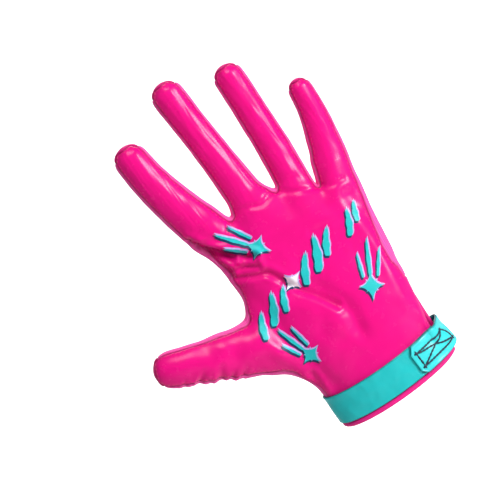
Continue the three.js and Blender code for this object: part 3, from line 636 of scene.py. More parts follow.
def coated_silicone():
    """Silicone poured and cured on knit: smooth and wet-looking, with a faint orange-peel skin. It is
    drawn into soft streaks along the fingers, which break up its highlights."""
    material, tree, shader = start_material("poured_silicone_pink")
    place = add_node(tree, "ShaderNodeTexCoord", {}).outputs["Object"]
    patches = add_node(
        tree,
        "ShaderNodeTexNoise",
        {"Vector": place, "Scale": 1 / (16 * MM), "Detail": 3.0},
    )
    tint = add_node(
        tree,
        "ShaderNodeMix",
        {0: patches.outputs["Fac"], 6: srgb("#DE0478"), 7: srgb("#EE0884")},
        data_type="RGBA",
    )
    tree.links.new(with_painted_shade_in_seams(tree, tint.outputs[2]), shader.inputs["Base Color"])
    wear = add_node(tree, "ShaderNodeTexNoise", {"Vector": place, "Scale": 1 / (5 * MM), "Detail": 4.0})
    rough = add_node(tree, "ShaderNodeMapRange", {0: wear.outputs["Fac"], 3: 0.16, 4: 0.34})
    tree.links.new(rough.outputs[0], shader.inputs["Roughness"])
    peel = add_node(
        tree,
        "ShaderNodeTexNoise",
        {"Vector": place, "Scale": 1 / (0.7 * MM), "Detail": 2.0},
    )
    bump = add_node(
        tree,
        "ShaderNodeBump",
        {"Strength": 0.25, "Distance": 0.05 * MM, "Height": peel.outputs["Fac"]},
    )
    drawn_out = add_node(tree, "ShaderNodeMapping", {"Vector": place, "Scale": (1, 1, 0.14)})
    streaks = add_node(
        tree,
        "ShaderNodeTexNoise",
        {"Vector": drawn_out.outputs[0], "Scale": 1 / (4.5 * MM), "Detail": 1.0, "Distortion": 0.4},
    )
    height = add_node(tree, "ShaderNodeSeparateXYZ", {0: place}).outputs["Z"]
    on_fingers = add_node(
        tree,
        "ShaderNodeMapRange",
        {0: height, 1: STREAKS_FROM, 2: STREAKS_FULL, 3: 0.0, 4: 0.8},
    )
    pulled = add_node(
        tree,
        "ShaderNodeBump",
        {"Strength": on_fingers.outputs[0], "Distance": 0.9 * MM, "Height": streaks.outputs["Fac"]},
    )
    tree.links.new(bump.outputs[0], pulled.inputs["Normal"])
    tree.links.new(pulled.outputs[0], shader.inputs["Normal"])
    shader.inputs["Specular IOR Level"].default_value = 0.3
    shader.inputs["IOR"].default_value = 1.41
    return material


def stretch_knit(name, dark, light):
    """Weft-knit elastane jersey: fine ribs of stitches and a soft pale sheen at grazing angles"""
    material, tree, shader = start_material(name)
    place = add_node(tree, "ShaderNodeUVMap", {}, uv_map="cloth").outputs[0]
    ribs = add_node(
        tree,
        "ShaderNodeTexWave",
        {"Vector": place, "Scale": 2 * math.pi / (20 * 1.1 * MM), "Distortion": 0.3, "Detail": 0.0},
        bands_direction="X",
    )
    courses = add_node(
        tree,
        "ShaderNodeTexWave",
        {"Vector": place, "Scale": 2 * math.pi / (20 * 0.8 * MM), "Distortion": 0.3, "Detail": 0.0},
        bands_direction="Y",
    )
    height = add_node(
        tree,
        "ShaderNodeMath",
        {0: ribs.outputs["Fac"], 1: courses.outputs["Fac"]},
        operation="MULTIPLY",
    )
    tint = add_node(
        tree,
        "ShaderNodeMix",
        {0: height.outputs[0], 6: srgb(dark), 7: srgb(light)},
        data_type="RGBA",
    )
    tree.links.new(with_painted_shade_in_seams(tree, tint.outputs[2]), shader.inputs["Base Color"])
    bump = add_node(
        tree,
        "ShaderNodeBump",
        {"Strength": 0.4, "Distance": 0.1 * MM, "Height": height.outputs[0]},
    )
    tree.links.new(bump.outputs[0], shader.inputs["Normal"])
    shader.inputs["Roughness"].default_value = 0.55
    shader.inputs["Specular IOR Level"].default_value = 0.2
    shader.inputs["Sheen Weight"].default_value = 0.3
    shader.inputs["Sheen Roughness"].default_value = 0.3
    shader.inputs["Sheen Tint"].default_value = srgb("#FFC8E4")
    return material


def inwards_at_rim(faces):
    """For each point on a panel's rim, the direction into the panel along the skin"""
    edges = rim_of(faces)
    pull = np.zeros_like(points)
    for side in (0, 1):
        at = edges[:, side]
        inwards = np.cross(normals[at], points[edges[:, 1]] - points[edges[:, 0]])
        np.add.at(pull, at, inwards / np.linalg.norm(inwards, axis=1, keepdims=True))
    length = np.linalg.norm(pull, axis=1, keepdims=True)
    return edges, pull / np.maximum(length, 0.5)


def finish_piece(name, mesh, material, node):
    """Puts a mesh in the scene as a piece of the glove that stands for a node of the frame"""
    mesh.materials.clear()
    mesh.materials.append(material)
    mesh.shade_smooth()
    mesh.set_sharp_from_angle(angle=SHARP)
    piece = bpy.data.objects.new(name, mesh)
    bpy.context.collection.objects.link(piece)
    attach(piece, "root")
    if node:
        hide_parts(node)
    return piece


def panel_mesh(name, numbers_of_panel, across, along):
    """A closed wall over one panel's faces, with a flat map of the cloth over two directions"""
    chosen = faces[numbers_of_panel]
    rim, inwards = inwards_at_rim(chosen)
    used = np.unique(chosen)
    outer = points[used] + inwards[used] * SEAM_OPENING
    inner = outer - normals[used] * WALL
    index_of = np.zeros(len(points), int)
    index_of[used] = np.arange(len(used))
    top = index_of[chosen]
    below = top[:, ::-1] + len(used)
    a, b = index_of[rim[:, 0]], index_of[rim[:, 1]]
    edge = np.stack((b, a, a + len(used), b + len(used)), axis=1)
    mesh = bpy.data.meshes.new(name)
    spots = np.concatenate((outer, inner))
    quads = np.concatenate((top, below, edge))
    mesh.from_pydata(spots.tolist(), [], quads.tolist())
    cloth = mesh.uv_layers.new(name="cloth")
    flat = spots[quads.ravel()] @ np.array((across, along)).T
    cloth.data.foreach_set("uv", flat.ravel())
    # The painted shade of seams and folds, stored for the cloth's colour
    seam = mesh.attributes.new("seam", "FLOAT", "POINT")
    seam.data.foreach_set("value", np.tile(painted_seam_and_fold_shade[used], 2))
    return mesh


silicone = coated_silicone()
back_cloth = stretch_knit("stretch_knit_back", "#CC0474", "#E40A84")
# The gusset knit is the back's knit coloured lighter: painted highlight for the pale rims of the side
# strips and gussets along the outline
pale_painted_side_cloth = stretch_knit("stretch_knit_gusset", "#EC409C", "#FF74BC")
X_WAY, Y_WAY, Z_WAY = (1, 0, 0), (0, 1, 0), (0, 0, 1)
OVER_CROTCH = (-0.707, 0, 0.707)  # from the thumb over the crotch to the index finger
UNDER_THUMB = (0.707, 0, -0.707)
PIECES = table(
    "node material slot across along",
    ("palm_panel", silicone, "palm_silicone", X_WAY, Z_WAY),
    ("back_panel", back_cloth, "back_knit", X_WAY, Z_WAY),
    ("side_ulnar", pale_painted_side_cloth, "gusset_knit", Y_WAY, Z_WAY),
    ("side_thumb", pale_painted_side_cloth, "gusset_knit", Y_WAY, UNDER_THUMB),
    ("gusset_thumb", pale_painted_side_cloth, "gusset_knit", Y_WAY, OVER_CROTCH),
    ("gusset_index_middle", pale_painted_side_cloth, "gusset_knit", Y_WAY, Z_WAY),
    ("gusset_middle_ring", pale_painted_side_cloth, "gusset_knit", Y_WAY, Z_WAY),
    ("gusset_ring_little", pale_painted_side_cloth, "gusset_knit", Y_WAY, Z_WAY),
)
for piece in PIECES:
    mesh = panel_mesh(piece.node, panels == PANELS.index(piece.node), piece.across, piece.along)
    finish_piece(piece.node + "_cloth", mesh, piece.material, piece.node)


# Bindings
# Narrow tape of the same pink is folded round the cut edges of the wrist opening and of the slit on
# the little finger's side, and sewn down, so that each edge is a soft rounded roll.
BINDING_WIDTH = 3.4 * MM
BINDING_SWELL = 0.7 * MM
CUFF_SWELL = 1.2 * MM
BINDING_GAP = 0.15 * MM
BINDING_CORNERS = 20
TAPE_POWERS = 0.8, 0.75  # across and up: 1 is round, less is squarer
ABOVE_SLIT = 6 * MM
SHARPEST_MITRE = -0.6  # cosine

face_on_edge = {}
wrist_faces = faces[points[faces[:, 0], 2] < NOTCH_HEIGHT + ABOVE_SLIT]
for corners in wrist_faces.tolist():
    for i in range(4):
        face_on_edge[corners[i], corners[(i + 1) % 4]] = corners


def walk(edges, start):
    """Points of a closed rim in order, from start"""
    following = {int(a): int(b) for a, b in edges}
    line = [start]
    while following[line[-1]] != start:
        line.append(following[line[-1]])
    return line


def line_above(line):
    above = []
    for i, corner in enumerate(line):
        corners = face_on_edge[corner, line[(i + 1) % len(line)]]
        above.append(corners[(corners.index(corner) + 3) % 4])
    return above


lines_per_row = 2**SKIN_LEVEL
band_lines = [walk(rim_of(faces), rows[0].ulnar)]
while len(band_lines) < lines_per_row * (len(NOTCH_ROWS) - 1) + 1:
    band_lines.append(line_above(band_lines[-1]))
wrist_points = even_points[np.array(band_lines)]  # the band bridges the cloth's folds
wrist_normals = even_normals[np.array(band_lines)]
notch_column = band_lines[0].index(rows[0].front[-1])


def tape_section(panel_side, free_side, normal, swell):
    """Rounded section of a folded tape, from the panel's side to the free edge and back"""
    section = []
    for k in range(BINDING_CORNERS):
        angle = 2 * math.pi * (k + 0.5) / BINDING_CORNERS
        across = 0.5 - 0.5 * math.copysign(abs(math.cos(angle)) ** TAPE_POWERS[0], math.cos(angle))
        level = math.copysign(abs(math.sin(angle)) ** TAPE_POWERS[1], math.sin(angle))
        height = level * (WALL / 2 + swell) - WALL / 2
        section.append(panel_side + (free_side - panel_side) * across + normal * height)
    return section


def loft(name, sections, painted_edge_shades=None):
    """A skin through closed sections of equal count, with flat ends"""
    size = len(sections[0])
    quads = []
    for s in range(len(sections) - 1):
        after = s + 1
        for i in range(size):
            j = (i + 1) % size
            quads.append((s * size + i, s * size + j, after * size + j, after * size + i))
    last = (len(sections) - 1) * size
    ends = [tuple(reversed(range(size))), tuple(range(last, last + size))]
    mesh = bpy.data.meshes.new(name)
    mesh.from_pydata([tuple(point) for section in sections for point in section], [], quads + ends)
    cloth = mesh.uv_layers.new(name="cloth")
    run = [0.0]
    for before, here in zip(sections, sections[1:]):
        run.append(run[-1] + float(np.linalg.norm(here[0] - before[0])))
    girth = sum(float(np.linalg.norm(b - a)) for a, b in zip(sections[0], sections[0][1:]))
    spots = [(run[v // size], girth * (v % size) / size) for v in range(len(sections) * size)]
    for loop in mesh.loops:
        cloth.data[loop.index].uv = spots[loop.vertex_index]
    # The "edge" attribute places the dark edge colour, part cut edge and part painted shade; both ends get
    # all of it
    if painted_edge_shades:
        edge = mesh.attributes.new("edge", "FLOAT", "POINT")
        painted_shade_at_ends = [1.0] * size
        rows_of_shares = [painted_shade_at_ends] + [painted_edge_shades] * (len(sections) - 2) + [painted_shade_at_ends]
        edge.data.foreach_set("value", np.array(rows_of_shares).ravel())
    return mesh


def unit(vectors):
    return vectors / np.linalg.norm(vectors, axis=-1, keepdims=True)


def facing_out(mesh):
    """Turns a closed mesh's faces outwards if its volume says that they point in"""
    spots = [vertex.co for vertex in mesh.vertices]
    volume = 0.0
    for face in mesh.polygons:
        first, *rest = (spots[i] for i in face.vertices)
        volume += sum(first.dot(a.cross(b)) for a, b in zip(rest, rest[1:]))
    if volume < 0:
        mesh.flip_normals()
    return mesh


def binding_tape():
    """Woven polyester tape, folded and pressed: a fine diagonal twill, half matt"""
    material, tree, shader = start_material("folded_twill_tape_pink")
    place = add_node(tree, "ShaderNodeUVMap", {}, uv_map="cloth").outputs[0]
    turn = add_node(tree, "ShaderNodeMapping", {"Vector": place, "Rotation": (0, 0, math.radians(38))})
    twill = add_node(
        tree,
        "ShaderNodeTexWave",
        {"Vector": turn.outputs[0], "Scale": 2 * math.pi / (20 * 0.7 * MM), "Distortion": 0.4},
        bands_direction="X",
    )
    tint = add_node(
        tree,
        "ShaderNodeMix",
        {0: twill.outputs["Fac"], 6: srgb("#D80474"), 7: srgb("#F01C90")},
        data_type="RGBA",
    )
    tree.links.new(tint.outputs[2], shader.inputs["Base Color"])
    bump = add_node(
        tree,
        "ShaderNodeBump",
        {"Strength": 0.5, "Distance": 0.1 * MM, "Height": twill.outputs["Fac"]},
    )
    tree.links.new(bump.outputs[0], shader.inputs["Normal"])
    shader.inputs["Roughness"].default_value = 0.5
    shader.inputs["Specular IOR Level"].default_value = 0.25
    shader.inputs["Sheen Weight"].default_value = 0.15
    shader.inputs["Sheen Tint"].default_value = srgb("#FFC8E4")
    return material


tape = binding_tape()
cuff = band_lines[0][: notch_column + 1]
cuff_points = points[cuff]
cuff_run = unit(np.gradient(cuff_points, axis=0))
cuff_down = unit(-np.cross(normals[cuff], cuff_run))
cuff_tops = cuff_points + cuff_down * BINDING_GAP
cuff_ends = cuff_points + cuff_down * (BINDING_GAP + BINDING_WIDTH)
cuff_sections = [
    tape_section(*places, CUFF_SWELL) for places in zip(cuff_tops, cuff_ends, normals[cuff])
]
cuff_mesh = facing_out(loft("cuff", cuff_sections))
finish_piece("cuff_binding_tape", cuff_mesh, tape, "cuff_binding")

# The tape follows the slit's edge on every eighth point, with a soft curve in between
SLIT_STEP = 8
notch_faces = faces[panels == PANELS.index("notch")]
notch_line = walk(rim_of(notch_faces), rows[0].ulnar)
slit = notch_line[: notch_line.index(rows[0].front[-1]) + 1 : SLIT_STEP]
slit_points = points[slit]
slit_sides = unit(np.cross((normals[slit][1:] + normals[slit][:-1]) / 2, np.diff(slit_points, axis=0)))
before = np.concatenate((slit_sides[:1], slit_sides))
after = np.concatenate((slit_sides, slit_sides[-1:]))
mitre = (before + after) / (1 + np.clip((before * after).sum(axis=1), SHARPEST_MITRE, 1))[:, None]
panel_sides = soft_curve(slit_points + mitre * BINDING_GAP, SLIT_STEP)
free_sides = soft_curve(slit_points + mitre * (BINDING_GAP + BINDING_WIDTH), SLIT_STEP)
slit_normals = unit(soft_curve(normals[slit], SLIT_STEP))
slit_sections = [
    tape_section(*places, BINDING_SWELL) for places in zip(panel_sides, free_sides, slit_normals)
]
slit_mesh = facing_out(loft("slit", slit_sections))
finish_piece("notch_binding_tape", slit_mesh, tape, "notch_binding")


# Wrist band
# A teal band of rubber-coated elastic is laid round the wrist over the cloth, from one edge of the
# slit to the other, with a slightly thicker hem along both of its edges.
BAND_THICKNESS = 1.3 * MM
HEM_WIDTH = 1.0 * MM
HEM_RISE = 0.15 * MM
HEM_STEEPNESS = 10
BAND_STEPS = 20  # across the band's width
EDGE_STEPS = 5  # round each of its edges
STATION_STEP = 1.5  # columns of the wrist's points between two sections
columns_round = wrist_points.shape[1]


def on_wrist(place, up, height):
    """Point over the wrist's skin: place is a column round the wrist, up a share of the band's width"""
    row = min(max(up, 0.0), 1.0) * (len(wrist_points) - 1)
    low_row, low_column = min(int(row), len(wrist_points) - 2), math.floor(place)
    spot, normal = np.zeros(3), np.zeros(3)
    for i, row_share in ((0, 1 - (row - low_row)), (1, row - low_row)):
        for j, column_share in ((0, 1 - (place - low_column)), (1, place - low_column)):
            at = low_row + i, (low_column + j) % columns_round
            spot += wrist_points[at] * row_share * column_share
            normal += wrist_normals[at] * row_share * column_share
    return spot + normal / np.linalg.norm(normal) * height


def ribbon_section(place, low, high, bottom, thickness):
    """Section of a ribbon across its width: hemmed on top, rounded at both edges, flat below"""
    radius = thickness / 2
    edge = radius / BAND_WIDTH
    section = []
    for k in range(BAND_STEPS + 1):
        up = low + edge + (high - low - 2 * edge) * (1 - math.cos(math.pi * k / BAND_STEPS)) / 2
        from_edge = min(up - low, high - up) * BAND_WIDTH / HEM_WIDTH
        rise = HEM_RISE * min(1.0, thickness / BAND_THICKNESS)
        hem = rise / (1 + math.exp(HEM_STEEPNESS * (from_edge - 1)))
        section.append(on_wrist(place, up, bottom + thickness + hem))
    for k in range(1, EDGE_STEPS):
        angle = math.pi * k / EDGE_STEPS
        up = high - edge + edge * math.sin(angle)
        section.append(on_wrist(place, up, bottom + radius + radius * math.cos(angle)))
    for k in range(BAND_STEPS + 1):
        up = high - edge - (high - low - 2 * edge) * k / BAND_STEPS
        section.append(on_wrist(place, up, bottom))
    for k in range(1, EDGE_STEPS):
        angle = math.pi * k / EDGE_STEPS
        up = low + edge - edge * math.sin(angle)
        section.append(on_wrist(place, up, bottom + radius - radius * math.cos(angle)))
    return section


# Share of dark edge, part cut edge, part painted shade: none on its face, all of it round the edges
RIBBON_PAINTED_EDGE_SHADE = [0.0] * (BAND_STEPS + 1) + [0.5] + [1.0] * (BAND_STEPS + 2 * EDGE_STEPS - 3) + [0.5]


def rubber_coating(name, dark, light):
    """Elastic webbing with a calendered rubber face: satin gloss, faint grain, soft colour drift"""
    material, tree, shader = start_material(name)
    place = add_node(tree, "ShaderNodeTexCoord", {}).outputs["Object"]
    drift = add_node(
        tree,
        "ShaderNodeTexNoise",
        {"Vector": place, "Scale": 1 / (14 * MM), "Detail": 3.0},
    )
    tint = add_node(
        tree,
        "ShaderNodeMix",
        {0: drift.outputs["Fac"], 6: srgb(dark), 7: srgb(light)},
        data_type="RGBA",
    )
    # Dark edges and ends: partly the webbing's dark cut edge, partly painted shade where the band meets
    # the cloth and at the strap's free end
    edge = add_node(tree, "ShaderNodeAttribute", {}, attribute_name="edge").outputs["Fac"]
    cut = add_node(
        tree,
        "ShaderNodeMix",
        {0: edge, 6: tint.outputs[2], 7: srgb("#08505C")},
        data_type="RGBA",
    )
    tree.links.new(cut.outputs[2], shader.inputs["Base Color"])
    grain = add_node(
        tree,
        "ShaderNodeTexNoise",
        {"Vector": place, "Scale": 1 / (0.5 * MM), "Detail": 2.0},
    )
    bump = add_node(
        tree,
        "ShaderNodeBump",
        {"Strength": 0.3, "Distance": 0.05 * MM, "Height": grain.outputs["Fac"]},
    )
    slack = add_node(tree, "ShaderNodeTexNoise", {"Vector": place, "Scale": 1 / (9 * MM), "Detail": 1.0})
    waves = add_node(
        tree,
        "ShaderNodeBump",
        {"Strength": 0.5, "Distance": 2.0 * MM, "Height": slack.outputs["Fac"], "Normal": bump.outputs[0]},
    )
    tree.links.new(waves.outputs[0], shader.inputs["Normal"])
    shader.inputs["Roughness"].default_value = 0.26
    shader.inputs["Specular IOR Level"].default_value = 0.35
    return material


band_sections = [
    ribbon_section(place, 0, 1, LAYER_GAP, BAND_THICKNESS)
    for place in np.arange(BINDING_GAP / MM, notch_column, STATION_STEP)
]
band_rubber = rubber_coating("calendered_rubber_teal", "#16B4B6", "#22C0C2")
band_mesh = facing_out(loft("band", band_sections, RIBBON_PAINTED_EDGE_SHADE))
finish_piece("wrist_band_rubber", band_mesh, band_rubber, "wrist_band")


# Closure strap
# The strap is sewn on at the back, comes round the little finger's side over the slit and closes on
# the band with hook and loop. Its free end is cut with two blunt corners.
STRAP_FRONT_REACH = 13.6 * MM
STRAP_BACK_REACH = 9 * MM
STRAP_CHAMFER = 2.6 * MM
CHAMFER_SHARE = 0.14  # of the strap's width
STRAP_STAND_OFF = 0.5 * MM
STRAP_BRIDGE = 26  # reach of the bridge over the slit, in columns
FREE_END, SEWN_END = 6, 2  # columns at its two ends where sections lie closer
STRAP_ROUNDING = 0.7 * MM
STRAP_BOTTOM = 2 * LAYER_GAP + BAND_THICKNESS
wrist_middle = wrist_points[len(wrist_points) // 2]


def column_at(start, step, reach):
    """Column round the wrist where its middle line comes down to an X, going one way from start"""
    column = start
    while wrist_middle[(column + step) % columns_round][0] > reach:
        column += step
    near, far = (wrist_middle[k % columns_round][0] for k in (column, column + step))
    return column + step * (near - reach) / (near - far)


strap_start = column_at(notch_column, -1, STRAP_FRONT_REACH)
strap_end = column_at(columns_round, 1, STRAP_BACK_REACH)
notch_middle = (notch_column + columns_round) / 2


def strap_lift(place):
    """The strap stands off where it bridges the slit"""
    return STRAP_STAND_OFF * math.exp(-(((place - notch_middle) / STRAP_BRIDGE) ** 2))


column_length = float(np.linalg.norm(np.diff(wrist_middle, axis=0), axis=1).mean())
places = [strap_start + share**2 * FREE_END for share in np.linspace(0, 1, 16)]
places += list(np.arange(places[-1] + 1, strap_end - SEWN_END, STATION_STEP))
places += [strap_end - share**2 * SEWN_END for share in np.linspace(1, 0, 8)]
strap_sections = []
for place in places:
    from_end = (place - strap_start) * column_length
    to_back = (strap_end - place) * column_length
    cut = CHAMFER_SHARE * max(0.0, 1 - from_end / STRAP_CHAMFER)
    near = min(from_end, to_back) / STRAP_ROUNDING
    full = 1 if near >= 1 else math.sqrt(max(0.05, 1 - (1 - near) ** 2))
    drop = STRAP_THICKNESS * (1 - full) / 2
    bottom = STRAP_BOTTOM + strap_lift(place) + drop
    strap_sections.append(ribbon_section(place, cut, 1 - cut, bottom, STRAP_THICKNESS * full))
strap_rubber = rubber_coating("calendered_rubber_teal_strap", "#28CCD0", "#40D8DA")
strap_mesh = facing_out(loft("strap", strap_sections, RIBBON_PAINTED_EDGE_SHADE))
finish_piece("closure_strap_rubber", strap_mesh, strap_rubber, "closure_strap")


# Threads
# The palm is sewn to the strips and gussets with pink bonded thread, a row of lockstitches just
# inside its edge. The strap's end carries a box of navy stitches with a cross in it.
def stitch_tree():
    """Turns lines on a surface into rows of stitches, each a short rounded bar along its line"""
    tree = bpy.data.node_groups.new("Row of stitches", "GeometryNodeTree")
    tree.interface.new_socket("Lines", in_out="INPUT", socket_type="NodeSocketGeometry")
    sizes = (("Pitch", 2.8 * MM), ("Stitch length", 2.2 * MM), ("Thread thickness", 0.45 * MM))
    for name, size in sizes:
        socket = tree.interface.new_socket(name, in_out="INPUT", socket_type="NodeSocketFloat")
        socket.default_value = size
    seed = tree.interface.new_socket("Seed", in_out="INPUT", socket_type="NodeSocketInt")
    seed.default_value = 7
    tree.interface.new_socket("Thread", in_out="INPUT", socket_type="NodeSocketMaterial")
    tree.interface.new_socket("Stitches", in_out="OUTPUT", socket_type="NodeSocketGeometry")
    given = tree.nodes.new("NodeGroupInput").outputs
    lines = add_node(tree, "GeometryNodeMeshToCurve", {"Mesh": given["Lines"]})
    spaced = add_node(
        tree,
        "GeometryNodeResampleCurve",
        {"Curve": lines.outputs[0], "Length": given["Pitch"]},
        mode="LENGTH",
    )
    bar = add_node(tree, "GeometryNodeMeshUVSphere", {"Segments": 8, "Rings": 6, "Radius": 0.5})
    smooth = add_node(tree, "GeometryNodeSetShadeSmooth", {0: bar.outputs[0]})
    tangent = add_node(tree, "GeometryNodeInputTangent", {})
    turn = add_node(tree, "FunctionNodeAlignRotationToVector", {"Vector": tangent.outputs[0]}, axis="X")
    uneven = add_node(
        tree,
        "FunctionNodeRandomValue",
        {2: 0.88, 3: 1.05, "Seed": given["Seed"]},
        data_type="FLOAT",
    )
    length = add_node(
        tree,
        "ShaderNodeMath",
        {0: given["Stitch length"], 1: uneven.outputs[1]},
        operation="MULTIPLY",
    )
    thick = given["Thread thickness"]
    size = add_node(tree, "ShaderNodeCombineXYZ", {0: length.outputs[0], 1: thick, 2: thick})
    bars = add_node(
        tree,
        "GeometryNodeInstanceOnPoints",
        {
            "Points": spaced.outputs[0],
            "Instance": smooth.outputs[0],
            "Rotation": turn.outputs[0],
            "Scale": size.outputs[0],
        },
    )
    whole = add_node(tree, "GeometryNodeRealizeInstances", {0: bars.outputs[0]})
    dyed = add_node(
        tree,
        "GeometryNodeSetMaterial",
        {"Geometry": whole.outputs[0], "Material": given["Thread"]},
    )
    output = tree.nodes.new("NodeGroupOutput")
    tree.links.new(dyed.outputs[0], output.inputs[0])
    return tree


def sewn_thread(name, colour, roughness):
    """Bonded polyester thread: twisted filaments with a low silky shine"""
    material, tree, shader = start_material(name)
    place = add_node(tree, "ShaderNodeTexCoord", {}).outputs["Object"]
    twist = add_node(
        tree,
        "ShaderNodeTexWave",
        {"Vector": place, "Scale": 2 * math.pi / (20 * 0.4 * MM), "Distortion": 2.0},
        bands_direction="DIAGONAL",
    )
    bump = add_node(
        tree,
        "ShaderNodeBump",
        {"Strength": 0.4, "Distance": 0.05 * MM, "Height": twist.outputs["Fac"]},
    )
    tree.links.new(bump.outputs[0], shader.inputs["Normal"])
    shader.inputs["Base Color"].default_value = srgb(colour)
    shader.inputs["Roughness"].default_value = roughness
    return material


row_of_stitches = stitch_tree()


def sew(name, lines, material, stitch):
    """Sews along lines, each a row of points, and leaves a plain mesh"""
    spots = [tuple(point) for line in lines for point in line]
    links, first = [], 0
    for line in lines:
        links += [(k, k + 1) for k in range(first, first + len(line) - 1)]
        first += len(line)
    mesh = bpy.data.meshes.new(name + "_lines")
    mesh.from_pydata(spots, links, [])
    guide = bpy.data.objects.new(name + "_lines", mesh)
    bpy.context.collection.objects.link(guide)
    sewing = guide.modifiers.new("sewing", "NODES")
    sewing.node_group = row_of_stitches
    values = {
        "Pitch": stitch.pitch,
        "Stitch length": stitch.length,
        "Thread thickness": stitch.thickness,
        "Thread": material,
    }
    for socket in row_of_stitches.interface.items_tree:
        if socket.in_out == "INPUT" and socket.name in values:
            sewing[socket.identifier] = values[socket.name]
    sewn = bpy.data.meshes.new_from_object(guide.evaluated_get(bpy.context.evaluated_depsgraph_get()))
    bpy.data.objects.remove(guide)
    return finish_piece(name, sewn, material, None)


SEAM_MARGIN = 1.9 * MM  # of the stitches inside the palm's edge
SEAM_STITCH = SimpleNamespace(pitch=2.9 * MM, length=2.2 * MM, thickness=0.4 * MM)
palm_faces = faces[panels == PANELS.index("palm_panel")]
palm_surface = BVHTree.FromPolygons(points.tolist(), palm_faces.tolist())
palm_rim, palm_inwards = inwards_at_rim(palm_faces)
band_top = CUFF_RISE + BAND_WIDTH
seam_lines = [[]]
for corner in walk(palm_rim, rows[0].front[0]):
    if points[corner][2] < band_top or corner in notch_line:
        seam_lines.append([])
        continue
    margin = points[corner] + palm_inwards[corner] * SEAM_MARGIN + normals[corner] * SEAM_DEPTH
    seam_lines[-1].append(palm_surface.find_nearest(Vector(margin))[0])
seam_lines = [line for line in seam_lines if len(line) > 4]
pink_thread = sewn_thread("bonded_polyester_thread_pink", "#D80466", 0.45)
sew("palm_seam_stitches", seam_lines, pink_thread, SEAM_STITCH)

# Box and cross on the strap, as shares of its width and millimetres from its free end
strap_top = STRAP_BOTTOM + STRAP_THICKNESS
BOX_LOW, BOX_HIGH = 0.2, 0.8
BOX_NEAR, BOX_FAR = 3 * MM, 27 * MM
BOX_STITCH = SimpleNamespace(pitch=2.5 * MM, length=3.7 * MM, thickness=1.25 * MM)


def strap_line(start, end, count=24):
    """Points on the strap's face between two places (length from the free end, share of width)"""
    line = []
    for share in np.linspace(0, 1, count):
        along = start[0] + (end[0] - start[0]) * share
        up = start[1] + (end[1] - start[1]) * share
        place = strap_start + along / column_length
        line.append(on_wrist(place, up, strap_top + strap_lift(place)))
    return line


corners = ((BOX_NEAR, BOX_LOW), (BOX_FAR, BOX_LOW), (BOX_FAR, BOX_HIGH), (BOX_NEAR, BOX_HIGH))
box_lines = [strap_line(corners[k], corners[(k + 1) % 4]) for k in range(4)]
box_lines += [strap_line(corners[0], corners[2]), strap_line(corners[1], corners[3])]
navy_thread = sewn_thread("bonded_polyester_thread_navy", "#0A2A40", 0.4)
sew("strap_box_stitches", box_lines, navy_thread, BOX_STITCH)


# Prints
# Raised ink is screened on the palm's silicone in three passes: a navy shadow, a pale lilac edge
# light and the teal face. The motifs are shooting stars and brush slashes, with one white star.
INK_LIFT = 0.05 * MM
INK_LAYER = 0.1 * MM
INK_FILL = 0.85  # of its layer
INK_GRID = 0.6 * MM
BEFORE_PALM = -0.2  # where the rays that find the palm start
SHADOW_SHIFT = (-1.05 * MM, -0.5 * MM)
LIGHT_SHIFT = (0.65 * MM, 0.3 * MM)
INK_SPREAD = 0.36 * MM
HOLLOW = 0.6  # of a star's sides: 2 is round, 1 is straight, less is hollow
STAR_STEPS = 96
SLASH_STEPS = 24
SLASH_TAIL = 20  # the step where its tail starts


def hollow_reach(angle, across, up):
    """Reach at an angle of a shape with four points and hollow sides"""
    sides = (abs(math.cos(angle)) / across) ** HOLLOW + (abs(math.sin(angle)) / up) ** HOLLOW
    return sides ** (-1 / HOLLOW)


def star(reach_across, reach_up, reach_between):
    """Four long points and four short ones between them, with hollow sides"""
    outline = []
    for k in range(STAR_STEPS):
        angle = 2 * math.pi * k / STAR_STEPS
        long = hollow_reach(angle, reach_across, reach_up)
        short = hollow_reach(angle + math.pi / 4, reach_between, reach_between)
        reach = max(long, short)
        outline.append((reach * math.cos(angle), reach * math.sin(angle)))
    return outline


def slash(length, width, bend, frays):
    """A brush stroke along X: thick near its head, with a frayed tail"""
    upper, lower = [], []
    for k in range(SLASH_STEPS + 1):
        t = k / SLASH_STEPS
        half = width / 2 * math.sin(math.pi * t**0.7) ** 0.55
        half *= 1 + 0.12 * math.sin(17 * t + bend * 900)
        middle = bend * 4 * t * (1 - t)
        upper.append((length * (t - 0.5), middle + half))
        lower.append((length * (t - 0.5), middle - half))
    tail = []
    for k in range(frays):
        y = width * 0.42 * (1 - 2 * (k + 0.5) / frays)
        tail.append((length * (0.5 + 0.05 * (k % 2)), y * 0.6))
        if k < frays - 1:
            tail.append((length * 0.42, y * 0.75 - width * 0.1))
    return upper[1 : SLASH_TAIL + 1] + tail + lower[SLASH_TAIL:0:-1]


def placed(outline, across, up, turn):
    cosine, sine = math.cos(math.radians(turn)), math.sin(math.radians(turn))
    return [(across + x * cosine - y * sine, up + x * sine + y * cosine) for x, y in outline]


def spread(outline, margin):
    """The outline grown outwards by a margin, without the points that would fold over in a notch"""
    line = np.array(outline)
    run = unit(np.roll(line, -1, axis=0) - np.roll(line, 1, axis=0) + 1e-12)
    out = np.stack((run[:, 1], -run[:, 0]), axis=1)
    x, y = line[:, 0], line[:, 1]
    turned = np.sum(x * np.roll(y, -1) - np.roll(x, -1) * y)
    grown = line + out * (margin if turned > 0 else -margin)
    apart = np.linalg.norm(grown[:, None] - line[None], axis=2).min(axis=1)
    return grown[apart > 0.9 * margin].tolist()


